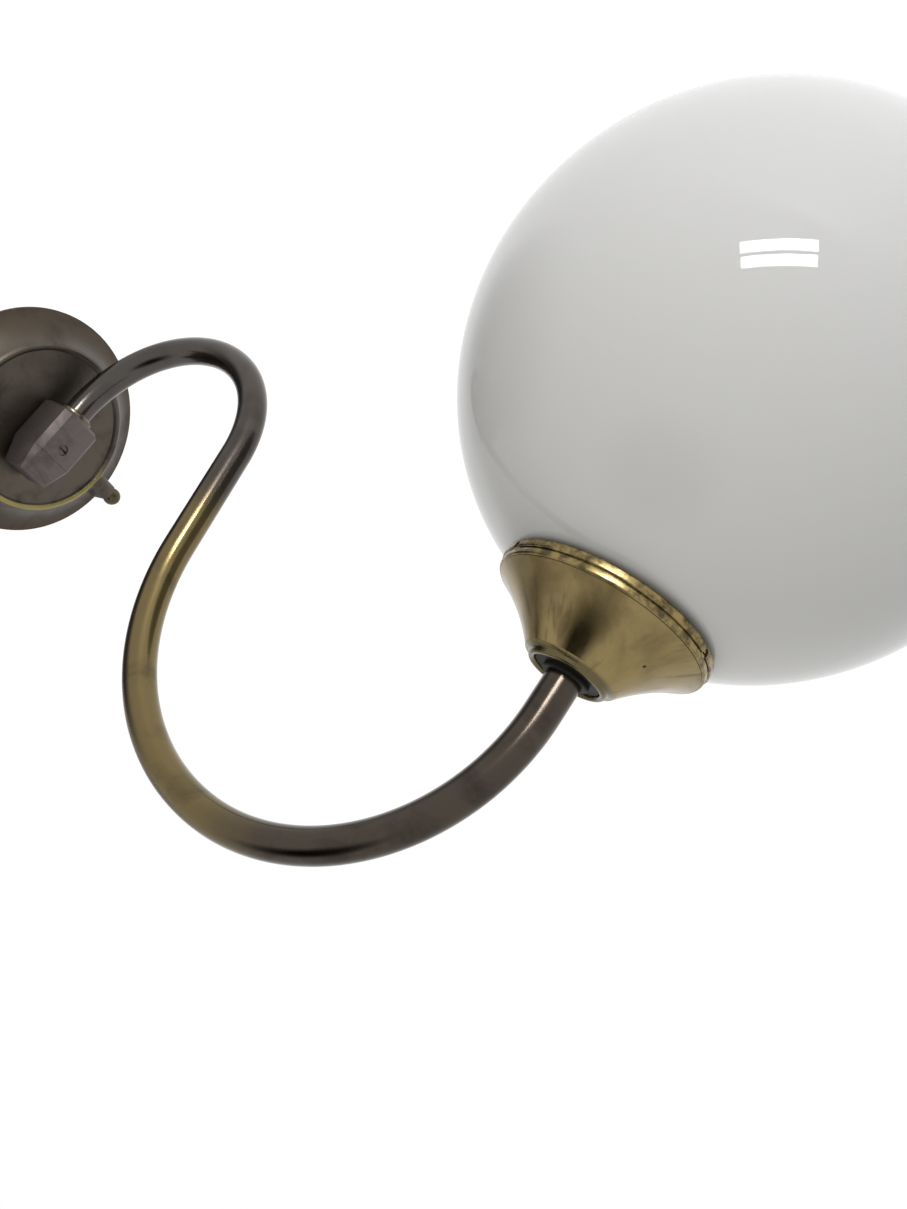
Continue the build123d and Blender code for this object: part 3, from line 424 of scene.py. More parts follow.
def gallery_brass():
    """Spun brass, aged: streaks down the flare, specks and a mottled band; the neck is darkened with painted
    shade.
    """
    material, tree, shader, place = new_material("aged_brass")
    moved = node(tree, "ShaderNodeMapping", {"Vector": place, "Location": LAMP_AXIS},
                 vector_type="TEXTURE").outputs[0]
    parts = node(tree, "ShaderNodeSeparateXYZ", {0: moved}).outputs
    flat = node(tree, "ShaderNodeCombineXYZ", {0: parts[0], 1: parts[1]}).outputs[0]
    radius = node(tree, "ShaderNodeVectorMath", {0: flat}, operation="LENGTH").outputs["Value"]
    way = node(tree, "ShaderNodeVectorMath", {0: flat}, operation="NORMALIZE").outputs[0]
    slope = node(tree, "ShaderNodeCombineXYZ", {2: maths(tree, "MULTIPLY", parts[2], 14.0)}).outputs[0]
    wrapped = node(tree, "ShaderNodeVectorMath", {0: way, 1: slope}, operation="ADD").outputs[0]
    along = maths(tree, "SUBTRACT", radius, parts[2])
    rings = placed(tree, LINES, {"Along": along, "Scale": 1500.0})["Height"]
    finish = placed(tree, PATINA, {
        "Vector": place, "Bright": rgba((0.262, 0.2, 0.088)), "Dull": rgba((0.156, 0.117, 0.052)),
        "Spot": rgba((0.04, 0.028, 0.015)), "Cloud Scale": 38.0, "Cover": 0.55,
        "Spot Scale": 330.0, "Spot Cover": 0.36, "Smooth": 0.15, "Rough": 0.3})
    streak = remap(tree, noise(tree, wrapped, 5.5, 3.0, 0.55), 0.56, 0.7, 0.0, 0.55)
    streaked = mix_colour(tree, streak, finish["Color"], rgba((0.085, 0.062, 0.033)))
    band = remap(tree, parts[2], BAND_TOP_Z - 0.0006, BAND_TOP_Z + 0.0002, 1.0, 0.0)
    clouds = remap(tree, noise(tree, place, 210.0, 5.0, 0.7), 0.4, 0.62)
    mottle = maths(tree, "MULTIPLY", clouds, band)
    rubbed = mix_colour(tree, band, streaked, rgba((0.27, 0.205, 0.088)))
    mottled = mix_colour(tree, mottle, rubbed, rgba((0.085, 0.066, 0.034)))
    # painted shade: the rolled lip and the inside of the neck, where the tube enters, are darkened
    neck = remap(tree, radius, *NECK_SHADE_R, 0.75, 0.0)
    neck_shaded = mix_colour(tree, neck, mottled, rgba((0.075, 0.066, 0.036)))
    pit = remap(tree, distance_from(tree, place, FLARE_PIT_AT), *FLARE_PIT_R, 0.9, 0.0)
    colour = mix_colour(tree, pit, neck_shaded, rgba((0.02, 0.015, 0.01)))
    rough = maths(tree, "MAXIMUM", finish["Roughness"], maths(tree, "MULTIPLY", band, 0.25))
    fill(tree, shader, {"Metallic": 1.0, "Base Color": colour, "Roughness": rough})
    height = maths(tree, "ADD", finish["Height"], maths(tree, "MULTIPLY", rings, 0.4))
    bumped(tree, shader, height, 0.00004)
    return material


FINISHES = {
    "opal_glass": opal_glass(),
    "tube_bronze": tube_bronze(),
    "canopy_bronze": canopy_bronze(),
    "aged_brass": gallery_brass(),
}
METALS = {
    "block_bronze": dict(
        bright=(0.135, 0.117, 0.112), dull=(0.085, 0.072, 0.07), spot=(0.036, 0.03, 0.029),
        cloud=70.0, cover=0.6, spots=0.4, spot_scale=400.0, smooth=0.5, rough=0.68, depth=0.0001),
    "ball_screw_brass": dict(
        bright=(0.1, 0.083, 0.046), dull=(0.042, 0.036, 0.023), spot=(0.025, 0.021, 0.015),
        cloud=150.0, cover=0.6, spots=0.3),
    "collar_brass": dict(
        bright=(0.135, 0.113, 0.083), dull=(0.075, 0.062, 0.046), spot=(0.03, 0.025, 0.017),
        cloud=120.0, cover=0.4, spots=0.2),
    "screw_dark": dict(
        bright=(0.24, 0.185, 0.085), dull=(0.13, 0.098, 0.045), spot=(0.03, 0.025, 0.02),
        cloud=200.0, cover=0.6, spots=0.3),
    "zinc_steel": dict(
        bright=(0.66, 0.67, 0.68), dull=(0.5, 0.51, 0.52), spot=(0.35, 0.35, 0.36),
        cloud=90.0, cover=0.5, spots=0.2, spot_scale=300.0, smooth=0.3, rough=0.45),
    "brass_inner": dict(
        bright=(0.72, 0.56, 0.26), dull=(0.6, 0.45, 0.19), spot=(0.3, 0.2, 0.08),
        cloud=80.0, cover=0.4, spots=0.15),
    "holder_brass": dict(
        bright=(0.66, 0.52, 0.25), dull=(0.5, 0.38, 0.17), spot=(0.2, 0.14, 0.06),
        cloud=50.0, cover=0.4, spots=0.2),
    "bulb_nickel": dict(
        bright=(0.75, 0.74, 0.72), dull=(0.62, 0.6, 0.57), spot=(0.3, 0.28, 0.25),
        cloud=90.0, cover=0.3, spots=0.1, spot_scale=300.0, smooth=0.15, rough=0.3),
}
MOULDINGS = {
    "light_board": dict(colour=(0.9, 0.9, 0.88), shade=0.05, smooth=0.4, rough=0.5),
    "white_plastic": dict(colour=(0.86, 0.86, 0.83), shade=0.06, smooth=0.35, rough=0.5),
    "white_ceramic": dict(colour=(0.9, 0.89, 0.86), shade=0.04, smooth=0.1, rough=0.2, scale=300.0, coat=0.3),
    "black_vitrite": dict(colour=(0.03, 0.03, 0.035), shade=0.05, smooth=0.08, rough=0.2),
    "black_ring": dict(colour=(0.016, 0.0145, 0.013), shade=0.1, smooth=0.4, rough=0.6, gloss=0.1),
    "rubber_ring": dict(colour=(0.74, 0.73, 0.69), shade=0.1, smooth=0.5, rough=0.7),
    "flex_sheath": dict(colour=(0.84, 0.83, 0.79), shade=0.08, smooth=0.45, rough=0.6),
    "core_brown": dict(colour=(0.26, 0.12, 0.05), shade=0.08, smooth=0.3, rough=0.45),
    "core_blue": dict(colour=(0.06, 0.2, 0.62), shade=0.08, smooth=0.3, rough=0.45),
    "core_earth": dict(colour=(0.35, 0.55, 0.1), shade=0.08, smooth=0.3, rough=0.45),
    "bulb_opal": dict(colour=(0.92, 0.92, 0.89), shade=0.03, smooth=0.25, rough=0.35),
}
for slot, look in METALS.items():
    FINISHES[slot] = metal(slot, **look)
for slot, look in MOULDINGS.items():
    FINISHES[slot] = moulded(slot, **look)
for part in frame["record"]["subparts"]:
    for cad_slot in nodes[part["node"]].material_slots:
        cad_slot.material = FINISHES[part["material_slot"]]


# ---------------------------------------------------------------- mesh helpers
def in_scene(name, data):
    """New object in the scene, with its mesh, curve, lamp or camera."""
    made = bpy.data.objects.new(name, data)
    bpy.context.scene.collection.objects.link(made)
    return made


def mesh_of(form, name):
    """Named mesh from a finished bmesh, which is then freed."""
    mesh = bpy.data.meshes.new(name)
    form.to_mesh(mesh)
    form.free()
    return mesh


def applied(holder):
    """Plain mesh of an object with its modifiers, and the object is then removed."""
    made = bpy.data.meshes.new_from_object(holder.evaluated_get(bpy.context.evaluated_depsgraph_get()))
    bpy.data.objects.remove(holder)
    return made


def rounded(outline):
    """Outline points (across, along, corner radius) turned into a line with round corners."""
    made = []
    count = len(outline)
    for index, (across, along, corner) in enumerate(outline):
        here = Vector((across, along))
        if corner == 0.0:
            made.append(here)
            continue
        before = (Vector(outline[index - 1][:2]) - here).normalized()
        after = (Vector(outline[(index + 1) % count][:2]) - here).normalized()
        half = before.angle(after) / 2
        reach = corner / max(0.05, abs(sin(half) / cos(half)))
        centre = here + (before + after).normalized() * corner / sin(half)
        first = here + before * reach - centre
        last = here + after * reach - centre
        for step in range(5):
            share = first.lerp(last, step / 4)
            made.append(centre + share.normalized() * corner)
    return made


def turned(name, line, centre):
    """Mesh turned about an upright axis through a point, from a closed line of (radius, height)."""
    form = bmesh.new()
    rings = []
    for across, along in line:
        if across < 1e-7:
            rings.append([form.verts.new((centre[0], centre[1], centre[2] + along))])
            continue
        rings.append([
            form.verts.new((
                centre[0] + across * cos(2 * pi * step / ROUND_STEPS),
                centre[1] + across * sin(2 * pi * step / ROUND_STEPS),
                centre[2] + along))
            for step in range(ROUND_STEPS)])
    for low, high in zip(rings, rings[1:] + rings[:1]):
        if len(low) == 1 and len(high) == 1:
            continue
        for step in range(ROUND_STEPS):
            following = (step + 1) % ROUND_STEPS
            corners = [low[step % len(low)], low[following % len(low)],
                       high[following % len(high)], high[step % len(high)]]
            form.faces.new(list(dict.fromkeys(corners)))
    bmesh.ops.recalc_face_normals(form, faces=form.faces)
    return mesh_of(form, name)


def shown(name, mesh, finish, body, *replaced, sharp=40.0):
    """Object from a finished mesh, riding its body in place of CAD nodes."""
    mesh.shade_smooth()
    mesh.set_sharp_from_angle(angle=radians(sharp))
    mesh.materials.clear()
    mesh.materials.append(FINISHES[finish])
    piece = in_scene(name, mesh)
    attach(piece, body)
    if replaced:
        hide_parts(*replaced)


# ---------------------------------------------------------------- opal ball
def foot_angle(across, along):
    """Angle up from the foot of the ball to a point on it."""
    return pi - Vector((along, across)).angle(Vector((1.0, 0.0)))


def ball_outline():
    """Section of the ball from its foot up the outside, round the lip and down the inside."""
    inner_r = BALL_R - BALL_WALL
    mouth_r = BALL_NECK_R - BALL_WALL
    neck_base = sqrt(BALL_R**2 - BALL_NECK_R**2)
    mouth_base = sqrt(inner_r**2 - mouth_r**2)
    top = neck_base + BALL_NECK_H + BALL_LIP_H
    turn_out = foot_angle(BALL_NECK_R, neck_base)
    turn_in = foot_angle(mouth_r, mouth_base)
    steps = 96
    line = [(BALL_R * sin(turn_out * step / steps), -BALL_R * cos(turn_out * step / steps))
            for step in range(steps)]
    lip = rounded([
        (BALL_NECK_R, neck_base, 0.0),
        (BALL_NECK_R, neck_base + BALL_NECK_H, 0.4 * MM),
        (BALL_LIP_R, neck_base + BALL_NECK_H, 0.9 * MM),
        (BALL_LIP_R, top, 0.9 * MM),
        (mouth_r, top, 0.8 * MM),
        (mouth_r, mouth_base, 0.0),
    ])
    line += [tuple(point) for point in lip]
    line += [(inner_r * sin(turn_in * step / steps), -inner_r * cos(turn_in * step / steps))
             for step in range(steps - 1, -1, -1)]
    return line


opal_ball = turned("opal_ball", ball_outline(), (0.0, LAMP_Y, BALL_Z))
shown("opal_ball", opal_ball, "opal_glass", "arm", "glass_globe")


# ---------------------------------------------------------------- gallery
def bowed(first, last, sag, steps):
    """Points of a shallow arc from one (radius, height) to another, bowed towards the axis."""
    first = Vector(first)
    last = Vector(last)
    chord = last - first
    inward = Vector((chord.y, -chord.x)).normalized()
    if inward.x > 0.0:
        inward.negate()
    return [first.lerp(last, step / steps) + inward * sag * 4 * (step / steps) * (1 - step / steps)
            for step in range(steps + 1)]


def gallery_outline():
    """Section of the spun flare: rolled neck lip, bowed flank, inner web."""
    roll = NECK_WALL / 2
    line = [Vector((WEB_HOLE_R, WEB_LOW_Z)), Vector((WEB_HOLE_R, WEB_TOP_Z)),
            Vector((NECK_R - NECK_WALL, WEB_TOP_Z))]
    for step in range(13):
        angle = pi - pi * step / 12
        line.append(Vector((NECK_R - roll + roll * cos(angle), NECK_LIP_Z - roll + roll * sin(angle))))
    line.append(Vector((NECK_R + 0.1 * MM, NECK_LIP_Z - NECK_SHOULDER + 0.2 * MM)))
    line.append(Vector((NECK_R + 0.5 * MM, NECK_LIP_Z - NECK_SHOULDER - 0.2 * MM)))
    line += bowed(FLARE_TOP, FLARE_LOW, FLARE_SAG, 40)
    inner_low = (FLARE_LOW[0] - FLARE_WALL, FLARE_LOW[1])
    line += bowed(inner_low, (FLARE_TOP[0] - FLARE_WALL, WEB_LOW_Z), FLARE_SAG * 0.8, 30)
    return line


def turbulence(place):
    """Noise between 0 and 1 at a point."""
    return (noise_at(place) + 1.0) / 2.0


def knocked(mesh):
    """Slight unevenness, as of old spun metal, that fades out at the neck and the foot of the flare."""
    for point in mesh.vertices:
        across = Vector((point.co.x, point.co.y - LAMP_Y, 0.0))
        share = min(1.0, max(0.0, (across.length - NECK_R - 2 * MM) / (6 * MM)))
        low = min(1.0, max(0.0, (point.co.z - FLARE_LOW[1]) / (3 * MM)))
        push = (turbulence(point.co / KNOCK_SIZE) - 0.5) * KNOCK_DEPTH * share * low
        point.co += across.normalized() * push


gallery_flare = turned("gallery_flare", gallery_outline(), LAMP_AXIS)
knocked(gallery_flare)
shown("gallery_flare", gallery_flare, "aged_brass", "arm", "gallery_shell", sharp=50.0)


def rim_outline():
    """Section of the two-tier rim with its rolled edges."""
    soft = 0.55 * MM
    return rounded([
        (BAND_BORE_R, BAND_LOW_Z, 0.3 * MM),
        (BAND_R, BAND_LOW_Z, soft),
        (BAND_R, BAND_STEP_Z - 0.15 * MM, soft),
        (BAND_UPPER_R - 0.3 * MM, BAND_STEP_Z - 0.1 * MM, 0.0),
        (BAND_UPPER_R - 0.3 * MM, BAND_STEP_Z + 0.1 * MM, 0.0),
        (BAND_UPPER_R, BAND_STEP_Z + 0.25 * MM, 0.3 * MM),
        (BAND_UPPER_R, BAND_TOP_Z - 0.2 * MM, 0.7 * MM),
        (FLARE_LOW[0] - 0.2 * MM, BAND_TOP_Z - 0.15 * MM, 0.0),
        (FLARE_LOW[0] - 0.2 * MM, BAND_TOP_Z, 0.0),
        (BAND_BORE_R, BAND_TOP_Z, 0.0),
    ])


def drilled(mesh, bars):
    """Mesh with round holes cut by bars, each a start, an end and a radius."""
    form = bmesh.new()
    for start, end, radius in bars:
        way = Vector(end) - Vector(start)
        middle = Matrix.Translation((Vector(start) + Vector(end)) / 2)
        bmesh.ops.create_cone(form, cap_ends=True, segments=32, radius1=radius, radius2=radius,
                              depth=way.length,
                              matrix=middle @ way.to_track_quat("Z", "Y").to_matrix().to_4x4())
    cutter = in_scene("drill", mesh_of(form, "drill"))
    holder = in_scene("drilled", mesh)
    holes = holder.modifiers.new("holes", "BOOLEAN")
    holes.operation = "DIFFERENCE"
    holes.object = cutter
    made = applied(holder)
    bpy.data.objects.remove(cutter)
    return made


def round_lamp(radius, degrees, height):
    """Point at a radius and a turn about the lamp's upright axis."""
    return (radius * cos(radians(degrees)), LAMP_Y + radius * sin(radians(degrees)), height)


rim_bars = [(round_lamp(BAND_BORE_R - 2 * MM, turn, BAND_SCREW_Z),
             round_lamp(BAND_R + 2 * MM, turn, BAND_SCREW_Z), BAND_SCREW_R) for turn in BAND_SCREW_ANGLES]
gallery_rim = drilled(turned("gallery_rim", rim_outline(), LAMP_AXIS), rim_bars)
shown("gallery_rim", gallery_rim, "aged_brass", "arm", "gallery_band", sharp=35.0)


# ---------------------------------------------------------------- canopy and swivel block
def smooth_step(value, low, high):
    """0 below a stretch, 1 above it, and a soft ramp between."""
    share = min(1.0, max(0.0, (value - low) / (high - low)))
    return share * share * (3.0 - 2.0 * share)


def blended(first, second, reach):
    """The higher of two heights, with a hollow curve where they meet."""
    near = max(reach - abs(first - second), 0.0) / reach
    return max(first, second) + near * near * reach / 4


def dish_lines():
    """Outer and inner section of the dished cover, as (radius, height off the wall)."""
    outer = [(CANOPY_HOLE_R + (BEAD_IN_R - CANOPY_HOLE_R) * step / 8, CANOPY_FACE) for step in range(8)]
    outer += [(BEAD_IN_R + (BEAD_OUT_R - BEAD_IN_R) * step / 16,
               CANOPY_FACE + BEAD_H * sin(pi * step / 16) + BEAD_H / 3 * step / 16) for step in range(17)]
    start = Vector((BEAD_OUT_R, CANOPY_FACE + BEAD_H / 3))
    end = Vector((CANOPY_R, CANOPY_RIM))
    bow = Vector((-1.0, -1.0)) * COVE_SAG * sqrt(0.5)
    shares = [step / 40 for step in range(1, 36)]
    shares += [0.88 + 0.006 * step for step in range(21)]  # finer where the bosses end
    outer += [tuple(start.lerp(end, share) + bow * 4 * share * (1 - share)) for share in shares]
    outer.append((CANOPY_R, 0.0))
    slant = CANOPY_WALL * sqrt(0.5)
    inner_start = Vector((CANOPY_R - CANOPY_WALL, 0.0))
    low = end - Vector((slant, slant))
    high = start - Vector((slant, slant))
    inner = [tuple(inner_start)]
    inner += [tuple(low.lerp(high, step / 16) + bow * 4 * (step / 16) * (1 - step / 16))
              for step in range(17)]
    inner += [(BEAD_IN_R, CANOPY_FACE - CANOPY_WALL), (CANOPY_HOLE_R, CANOPY_FACE - CANOPY_WALL)]
    return outer, inner


def with_boss(across, up, height):
    """Height off the wall where a side boss rises out of the flank."""
    side = abs(across)
    if side < BEAD_IN_R or abs(up) > 2 * BOSS_R:
        return height
    round_share = 1.0 - (up / BOSS_R)**2
    boss = SIDE_SCREW_RISE + BOSS_R * sqrt(round_share) if round_share > 0.0 else SIDE_SCREW_RISE
    boss -= 6 * BOSS_R * max(0.0, abs(up) / BOSS_R - 1.0)
    boss -= BOSS_SINK * (1.0 - smooth_step(side, BEAD_IN_R, BEAD_OUT_R + 1 * MM))
    swollen = blended(height, boss, BOSS_BLEND)
    return height + (swollen - height) * smooth_step(BOSS_END + 0.1 * MM - side, 0.0, BOSS_END_SOFT)


def canopy_mesh():
    """Pressed cover: face, bead, hollow flank, and bosses that flow out of the bead."""
    outer, inner = dish_lines()
    over_boss = [-12 + 0.5 * step for step in range(48)]
    between = [12 + 2.4 * step for step in range(65)]
    half_turn = over_boss + between
    angles = half_turn + [180 + angle for angle in half_turn]
    form = bmesh.new()
    rings = []
    for radius, height in outer:
        ring = []
        for angle in angles:
            across = radius * cos(radians(angle))
            up = radius * sin(radians(angle))
            raised = with_boss(across, up, height) if height > 0.0 else height
            ring.append(form.verts.new((across, -raised, up)))
        rings.append(ring)
    for radius, height in inner:
        rings.append([form.verts.new((radius * cos(radians(angle)), -height, radius * sin(radians(angle))))
                      for angle in angles])
    count = len(angles)
    for low, high in zip(rings, rings[1:] + rings[:1]):
        for step in range(count):
            following = (step + 1) % count
            form.faces.new((low[step], low[following], high[following], high[step]))
    bmesh.ops.recalc_face_normals(form, faces=form.faces)
    return mesh_of(form, "canopy_cover")


canopy_bars = [((side * 30 * MM, -SIDE_SCREW_RISE, 0.0), (side * 60 * MM, -SIDE_SCREW_RISE, 0.0), SIDE_HOLE_R)
               for side in (-1, 1)]
canopy_cover = drilled(canopy_mesh(), canopy_bars)
shown("canopy_cover", canopy_cover, "canopy_bronze", "wall_mount", "canopy", sharp=50.0)


def softened(name, source, finish, body, width):
    """A CAD piece's copy with its sharp edges worn round, in the same place."""
    form = bmesh.new()
    form.from_mesh(nodes[source].data)
    bmesh.ops.remove_doubles(form, verts=form.verts, dist=1e-6)
    bmesh.ops.dissolve_limit(form, angle_limit=radians(0.4), verts=form.verts, edges=form.edges)
    holder = in_scene("worn", mesh_of(form, name))
    worn = holder.modifiers.new("worn", "BEVEL")
    worn.width = width
    worn.segments = 3
    worn.limit_method = "ANGLE"
    worn.angle_limit = radians(20)
    worn.use_clamp_overlap = True
    made = applied(holder)
    made.name = name
    shown(name, made, finish, body, source, sharp=60.0)


softened("block_body", "swivel_block", "block_bronze", "wall_mount", 0.35 * MM)
softened("block_top", "swivel_block_cap", "block_bronze", "wall_mount", 0.3 * MM)
softened("grub_screw", "swivel_grub_screw", "block_bronze", "swivel_grub_screw", 0.12 * MM)
softened("ball_screw_left", "canopy_screw_left", "ball_screw_brass", "canopy_screw_left", 0.15 * MM)
softened("ball_screw_right", "canopy_screw_right", "ball_screw_brass", "canopy_screw_right", 0.15 * MM)
for screw in ("gallery_screw_1", "gallery_screw_2", "gallery_screw_3"):
    softened(f"{screw}_worn", screw, "screw_dark", screw, 0.12 * MM)


# ---------------------------------------------------------------- swan-neck tube
def arm_path():
    """Centre line of the arm in its own plane, as steps along straight runs and arcs."""
    place = Vector((LAMP_Y, WEB_TOP_Z))
    heading = 90.0
    points = [place.copy()]
    runs = [
        (ARCH_END_Z - WEB_TOP_Z, 0.0, 0.0),
        (0.0, ARCH_FRONT_R, -90.0),
        (0.0, ARCH_BACK_R, LEAN - 90.0),
        (RUN_L, 0.0, 0.0),
        (0.0, UBEND_R, 180.0 - LEAN),
        (TUBE_TOP_Z - UBEND_Z, 0.0, 0.0),
    ]
    for length, bend, turn in runs:
        if bend == 0.0:
            place = place + Vector((cos(radians(heading)), sin(radians(heading)))) * length
            points.append(place.copy())
            continue
        side = 1.0 if turn > 0 else -1.0
        centre = place + Vector((-sin(radians(heading)), cos(radians(heading)))) * bend * side
        steps = round(abs(turn) / 2)
        for step in range(1, steps + 1):
            angle = radians(heading + turn * step / steps)
            points.append(centre + Vector((sin(angle), -cos(angle))) * bend * side)
        heading += turn
        place = points[-1].copy()
    return points


def make_tube_tree():
    """Geometry nodes: a round skin swept along a line."""
    tree = bpy.data.node_groups.new("tube_along_path", "GeometryNodeTree")
    for name, kind in (("Geometry", "NodeSocketGeometry"), ("Radius", "NodeSocketFloat"),
                       ("Step", "NodeSocketFloat"), ("Sides", "NodeSocketInt"),
                       ("Material", "NodeSocketMaterial")):
        tree.interface.new_socket(name, in_out="INPUT", socket_type=kind)
    tree.interface.new_socket("Geometry", in_out="OUTPUT", socket_type="NodeSocketGeometry")
    start = tree.nodes.new("NodeGroupInput").outputs
    even = node(tree, "GeometryNodeResampleCurve", {"Curve": start["Geometry"], "Length": start["Step"]},
                mode="LENGTH")
    ring = node(tree, "GeometryNodeCurvePrimitiveCircle",
                {"Resolution": start["Sides"], "Radius": start["Radius"]})
    skin = node(tree, "GeometryNodeCurveToMesh",
                {"Curve": even.outputs["Curve"], "Profile Curve": ring.outputs["Curve"]})
    real = node(tree, "GeometryNodeRealizeInstances", {"Geometry": skin.outputs["Mesh"]})
    paint = node(tree, "GeometryNodeSetMaterial",
                 {"Geometry": real.outputs["Geometry"], "Material": start["Material"]})
    node(tree, "NodeGroupOutput", {"Geometry": paint.outputs["Geometry"]})
    return tree


def tree_result(name, source, tree, values):
    """Plain mesh from a geometry node tree on an object, which is then removed."""
    modifier = source.modifiers.new("form", "NODES")
    modifier.node_group = tree
    for item in tree.interface.items_tree:
        if item.in_out == "INPUT" and item.name in values:
            modifier[item.identifier] = values[item.name]
    source.update_tag()
    bpy.context.view_layer.update()
    mesh = applied(source)
    mesh.name = name
    return mesh


def curve_object(name, points):
    """Curve object through points in the upright plane of the arm."""
    curve = bpy.data.curves.new(name, "CURVE")
    curve.dimensions = "3D"
    line = curve.splines.new("POLY")
    line.points.add(len(points) - 1)
    for spot, point in zip(line.points, points):
        spot.co = (0.0, point.x, point.y, 1.0)
    return in_scene(name, curve)


def walled(mesh, thickness):
    """A skin given its wall towards the inside."""
    holder = in_scene("wall", mesh)
    wall = holder.modifiers.new("wall", "SOLIDIFY")
    wall.thickness = thickness
    wall.offset = -1.0
    wall.use_even_offset = True
    return applied(holder)


tube_skin = tree_result(
    "arm_tube_skin", curve_object("arm_line", arm_path()), make_tube_tree(),
    {"Radius": TUBE_R, "Step": TUBE_STEP, "Sides": TUBE_SIDES, "Material": FINISHES["tube_bronze"]})
shown("swan_neck_tube", walled(tube_skin, TUBE_WALL), "tube_bronze", "arm", "arm_tube")


# ---------------------------------------------------------------- camera
camera_data = bpy.data.cameras.new("camera")
camera_data.sensor_width = 36.0
camera_data.lens = CAMERA_LENS
camera_data.clip_start = 0.01
camera_data.clip_end = 50.0
camera = in_scene("camera", camera_data)
axes = Matrix((CAMERA_RIGHT, -CAMERA_DOWN, -CAMERA_AHEAD)).transposed().to_4x4()
camera.matrix_world = Matrix.Translation(CAMERA_PLACE) @ axes
bpy.context.scene.camera = camera


# ---------------------------------------------------------------- light and floor
def facing(place, towards, along):
    """Matrix of something that looks at a point, with its long side along a direction."""
    back = (Vector(place) - Vector(towards)).normalized()
    long_way = (Vector(along) - back * back.dot(Vector(along))).normalized()
    frame_axes = Matrix((long_way, back.cross(long_way), back)).transposed().to_4x4()
    return Matrix.Translation(place) @ frame_axes


def pane(name, place, towards, along, width, height, brightness, glossy=True):
    """Soft rectangular lamp that faces a point; brightness is that of its surface."""
    data = bpy.data.lights.new(name, "AREA")
    data.shape = "RECTANGLE"
    data.size = width
    data.size_y = height
    data.energy = brightness * pi * width * height
    lamp = in_scene(name, data)
    lamp.matrix_world = facing(place, towards, along)
    lamp.visible_camera = False
    lamp.visible_glossy = glossy


def flat_square(name, half, height):
    """Level square mesh of one face about the origin, at a height."""
    mesh = bpy.data.meshes.new(name)
    corners = [(-half, -half, height), (half, -half, height), (half, half, height), (-half, half, height)]
    mesh.from_pydata(corners, [], [(0, 1, 2, 3)])
    return mesh


def gloss_card(name, place, along, width, shade):
    """Soft-edged square card that faces the lamp, as a studio has them, which only gloss shows."""
    half = width / 2
    mesh = flat_square(name, half, 0.0)
    mesh.transform(facing(place, MIDDLE, along))
    card = in_scene(name, mesh)
    material, tree, shader, spot = new_material(name)
    fill(tree, shader, {
        "Alpha": remap(tree, distance_from(tree, spot, place), half * 0.25, half, 1.0, 0.0),
        "Base Color": (shade, shade, shade, 1.0), "Roughness": 0.9, "Specular IOR Level": 0.0})
    mesh.materials.append(material)
    card.visible_camera = False
    card.visible_diffuse = False
    card.visible_transmission = False
    card.visible_shadow = False


def looked_at(tree):
    """1 for the eye, for gloss and through glass, and 0 where a surface only gives light."""
    rays = tree.nodes.new("ShaderNodeLightPath").outputs
    seen = maths(tree, "MAXIMUM", rays["Is Camera Ray"], rays["Is Transmission Ray"])
    return maths(tree, "MAXIMUM", seen, rays["Is Glossy Ray"])


def make_world():
    """Pale surroundings: white where they are looked at, softer as a light."""
    world = bpy.data.worlds.new("surroundings")
    bpy.context.scene.world = world
    world.use_nodes = True
    tree = world.node_tree
    tree.nodes.clear()
    strength = remap(tree, looked_at(tree), 0.0, 1.0, WORLD_LIGHT, 1.0)
    back = node(tree, "ShaderNodeBackground", {"Color": (1.0, 1.0, 1.0, 1.0), "Strength": strength})
    node(tree, "ShaderNodeOutputWorld", {0: back.outputs[0]})


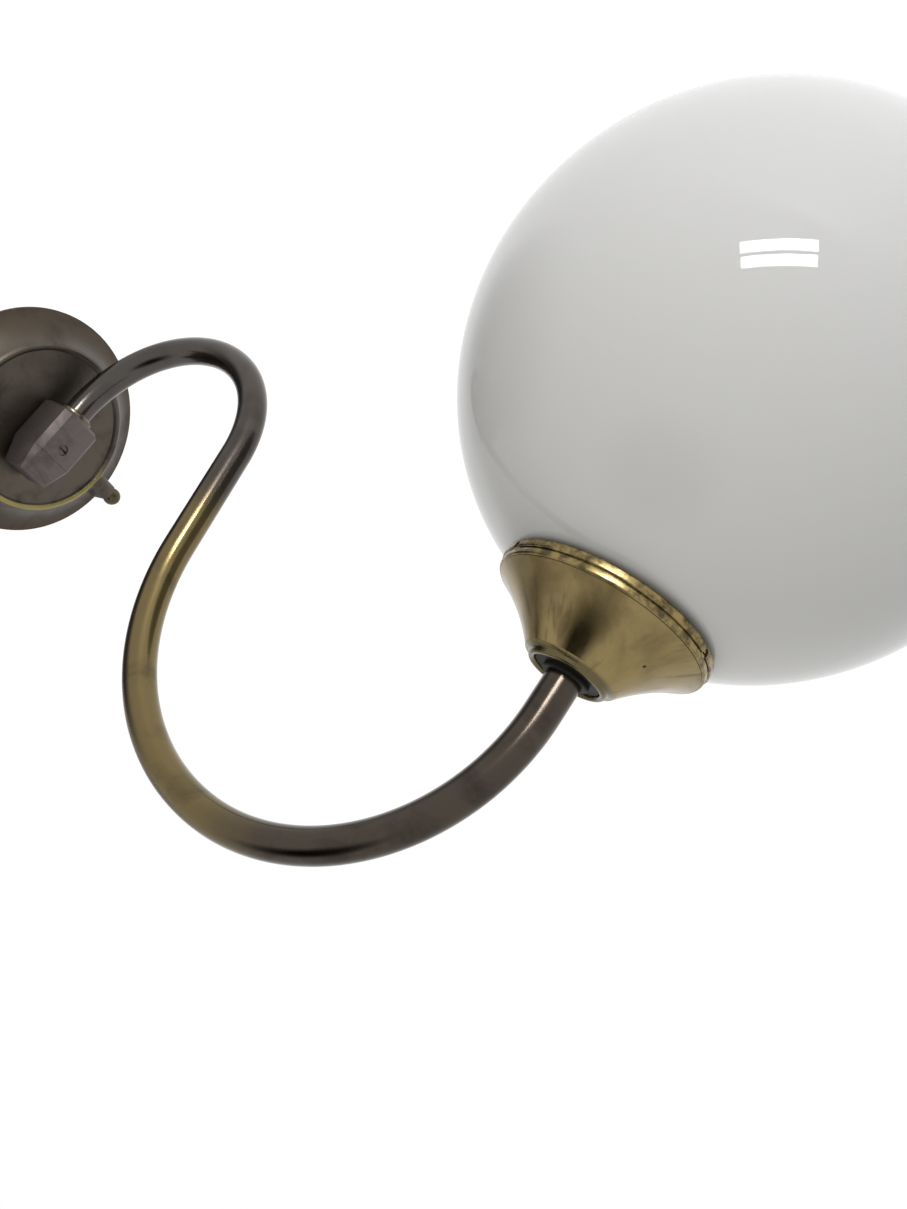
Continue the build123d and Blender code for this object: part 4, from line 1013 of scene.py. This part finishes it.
def make_floor():
    """Plain pale floor that is white where it is looked at and keeps a soft shadow."""
    mesh = flat_square("floor", FLOOR_REACH, FLOOR_Z)
    floor = in_scene("floor", mesh)
    material, tree, shader, _ = new_material("pale_floor")
    fill(tree, shader, {
        "Base Color": (FLOOR_SHADE, FLOOR_SHADE, FLOOR_SHADE, 1.0), "Roughness": 0.95,
        "Specular IOR Level": 0.0, "Emission Color": (1.0, 1.0, 1.0, 1.0),
        "Emission Strength": maths(tree, "MULTIPLY", looked_at(tree), FLOOR_GLOW)})
    mesh.materials.append(material)


MIDDLE = (0.0, -0.3, 0.0)
ALONG_X = (1.0, 0.0, 0.0)
ALONG_Y = (0.0, 1.0, 0.0)

WINDOW_FROM = Vector((0.0922, -0.3395, -0.0943))
WINDOW_WAY = Vector((0.955, -0.171, -0.242)).normalized()
WINDOW_LONG = Vector((-0.114, -0.358, -0.196)).normalized()
WINDOW_PANE_W = 0.42
WINDOW_PANE_H = 0.075
WINDOW_PITCH = 0.1
WINDOW_BRIGHTNESS = 30.0
window_place = WINDOW_FROM + WINDOW_WAY * 1.0
window_up = WINDOW_WAY.cross(WINDOW_LONG).normalized()
for number, side in ((1, -0.5), (2, 0.5)):
    shift = window_up * side * WINDOW_PITCH
    pane(f"window_pane_{number}", window_place + shift, WINDOW_FROM + shift, WINDOW_LONG,
         WINDOW_PANE_W, WINDOW_PANE_H, WINDOW_BRIGHTNESS)

# name, place, the point it faces, width, brightness
SOFT_LAMPS = (
    ("table_light", (0.0, -0.3, FLOOR_Z + 0.02), MIDDLE, 1.2, 0.28),
    ("high_light", (0.6, 0.2, 0.9), (0.0, -0.3, -0.1), 0.9, 0.9),
    ("room_light", (-0.84, -0.81, 0.98), MIDDLE, 0.9, 2.0),
)
for name, place, towards, width, brightness in SOFT_LAMPS:
    pane(name, place, towards, ALONG_X, width, width, brightness, glossy=False)

# name, place, direction of one side, width, shade of grey
GLOSS_CARDS = (
    ("overhead_card", (0.38, -0.29, 0.81), ALONG_Y, 1.0, 0.02),
    ("behind_card", (-0.39, 0.73, 0.61), ALONG_X, 1.3, 0.8),
    ("wall_side_card", (0.1, 0.95, 0.1), ALONG_X, 1.8, 0.12),
)
for name, place, along, width, shade in GLOSS_CARDS:
    gloss_card(name, place, along, width, shade)
make_world()
make_floor()

scene = bpy.context.scene
scene.view_settings.view_transform = "Standard"
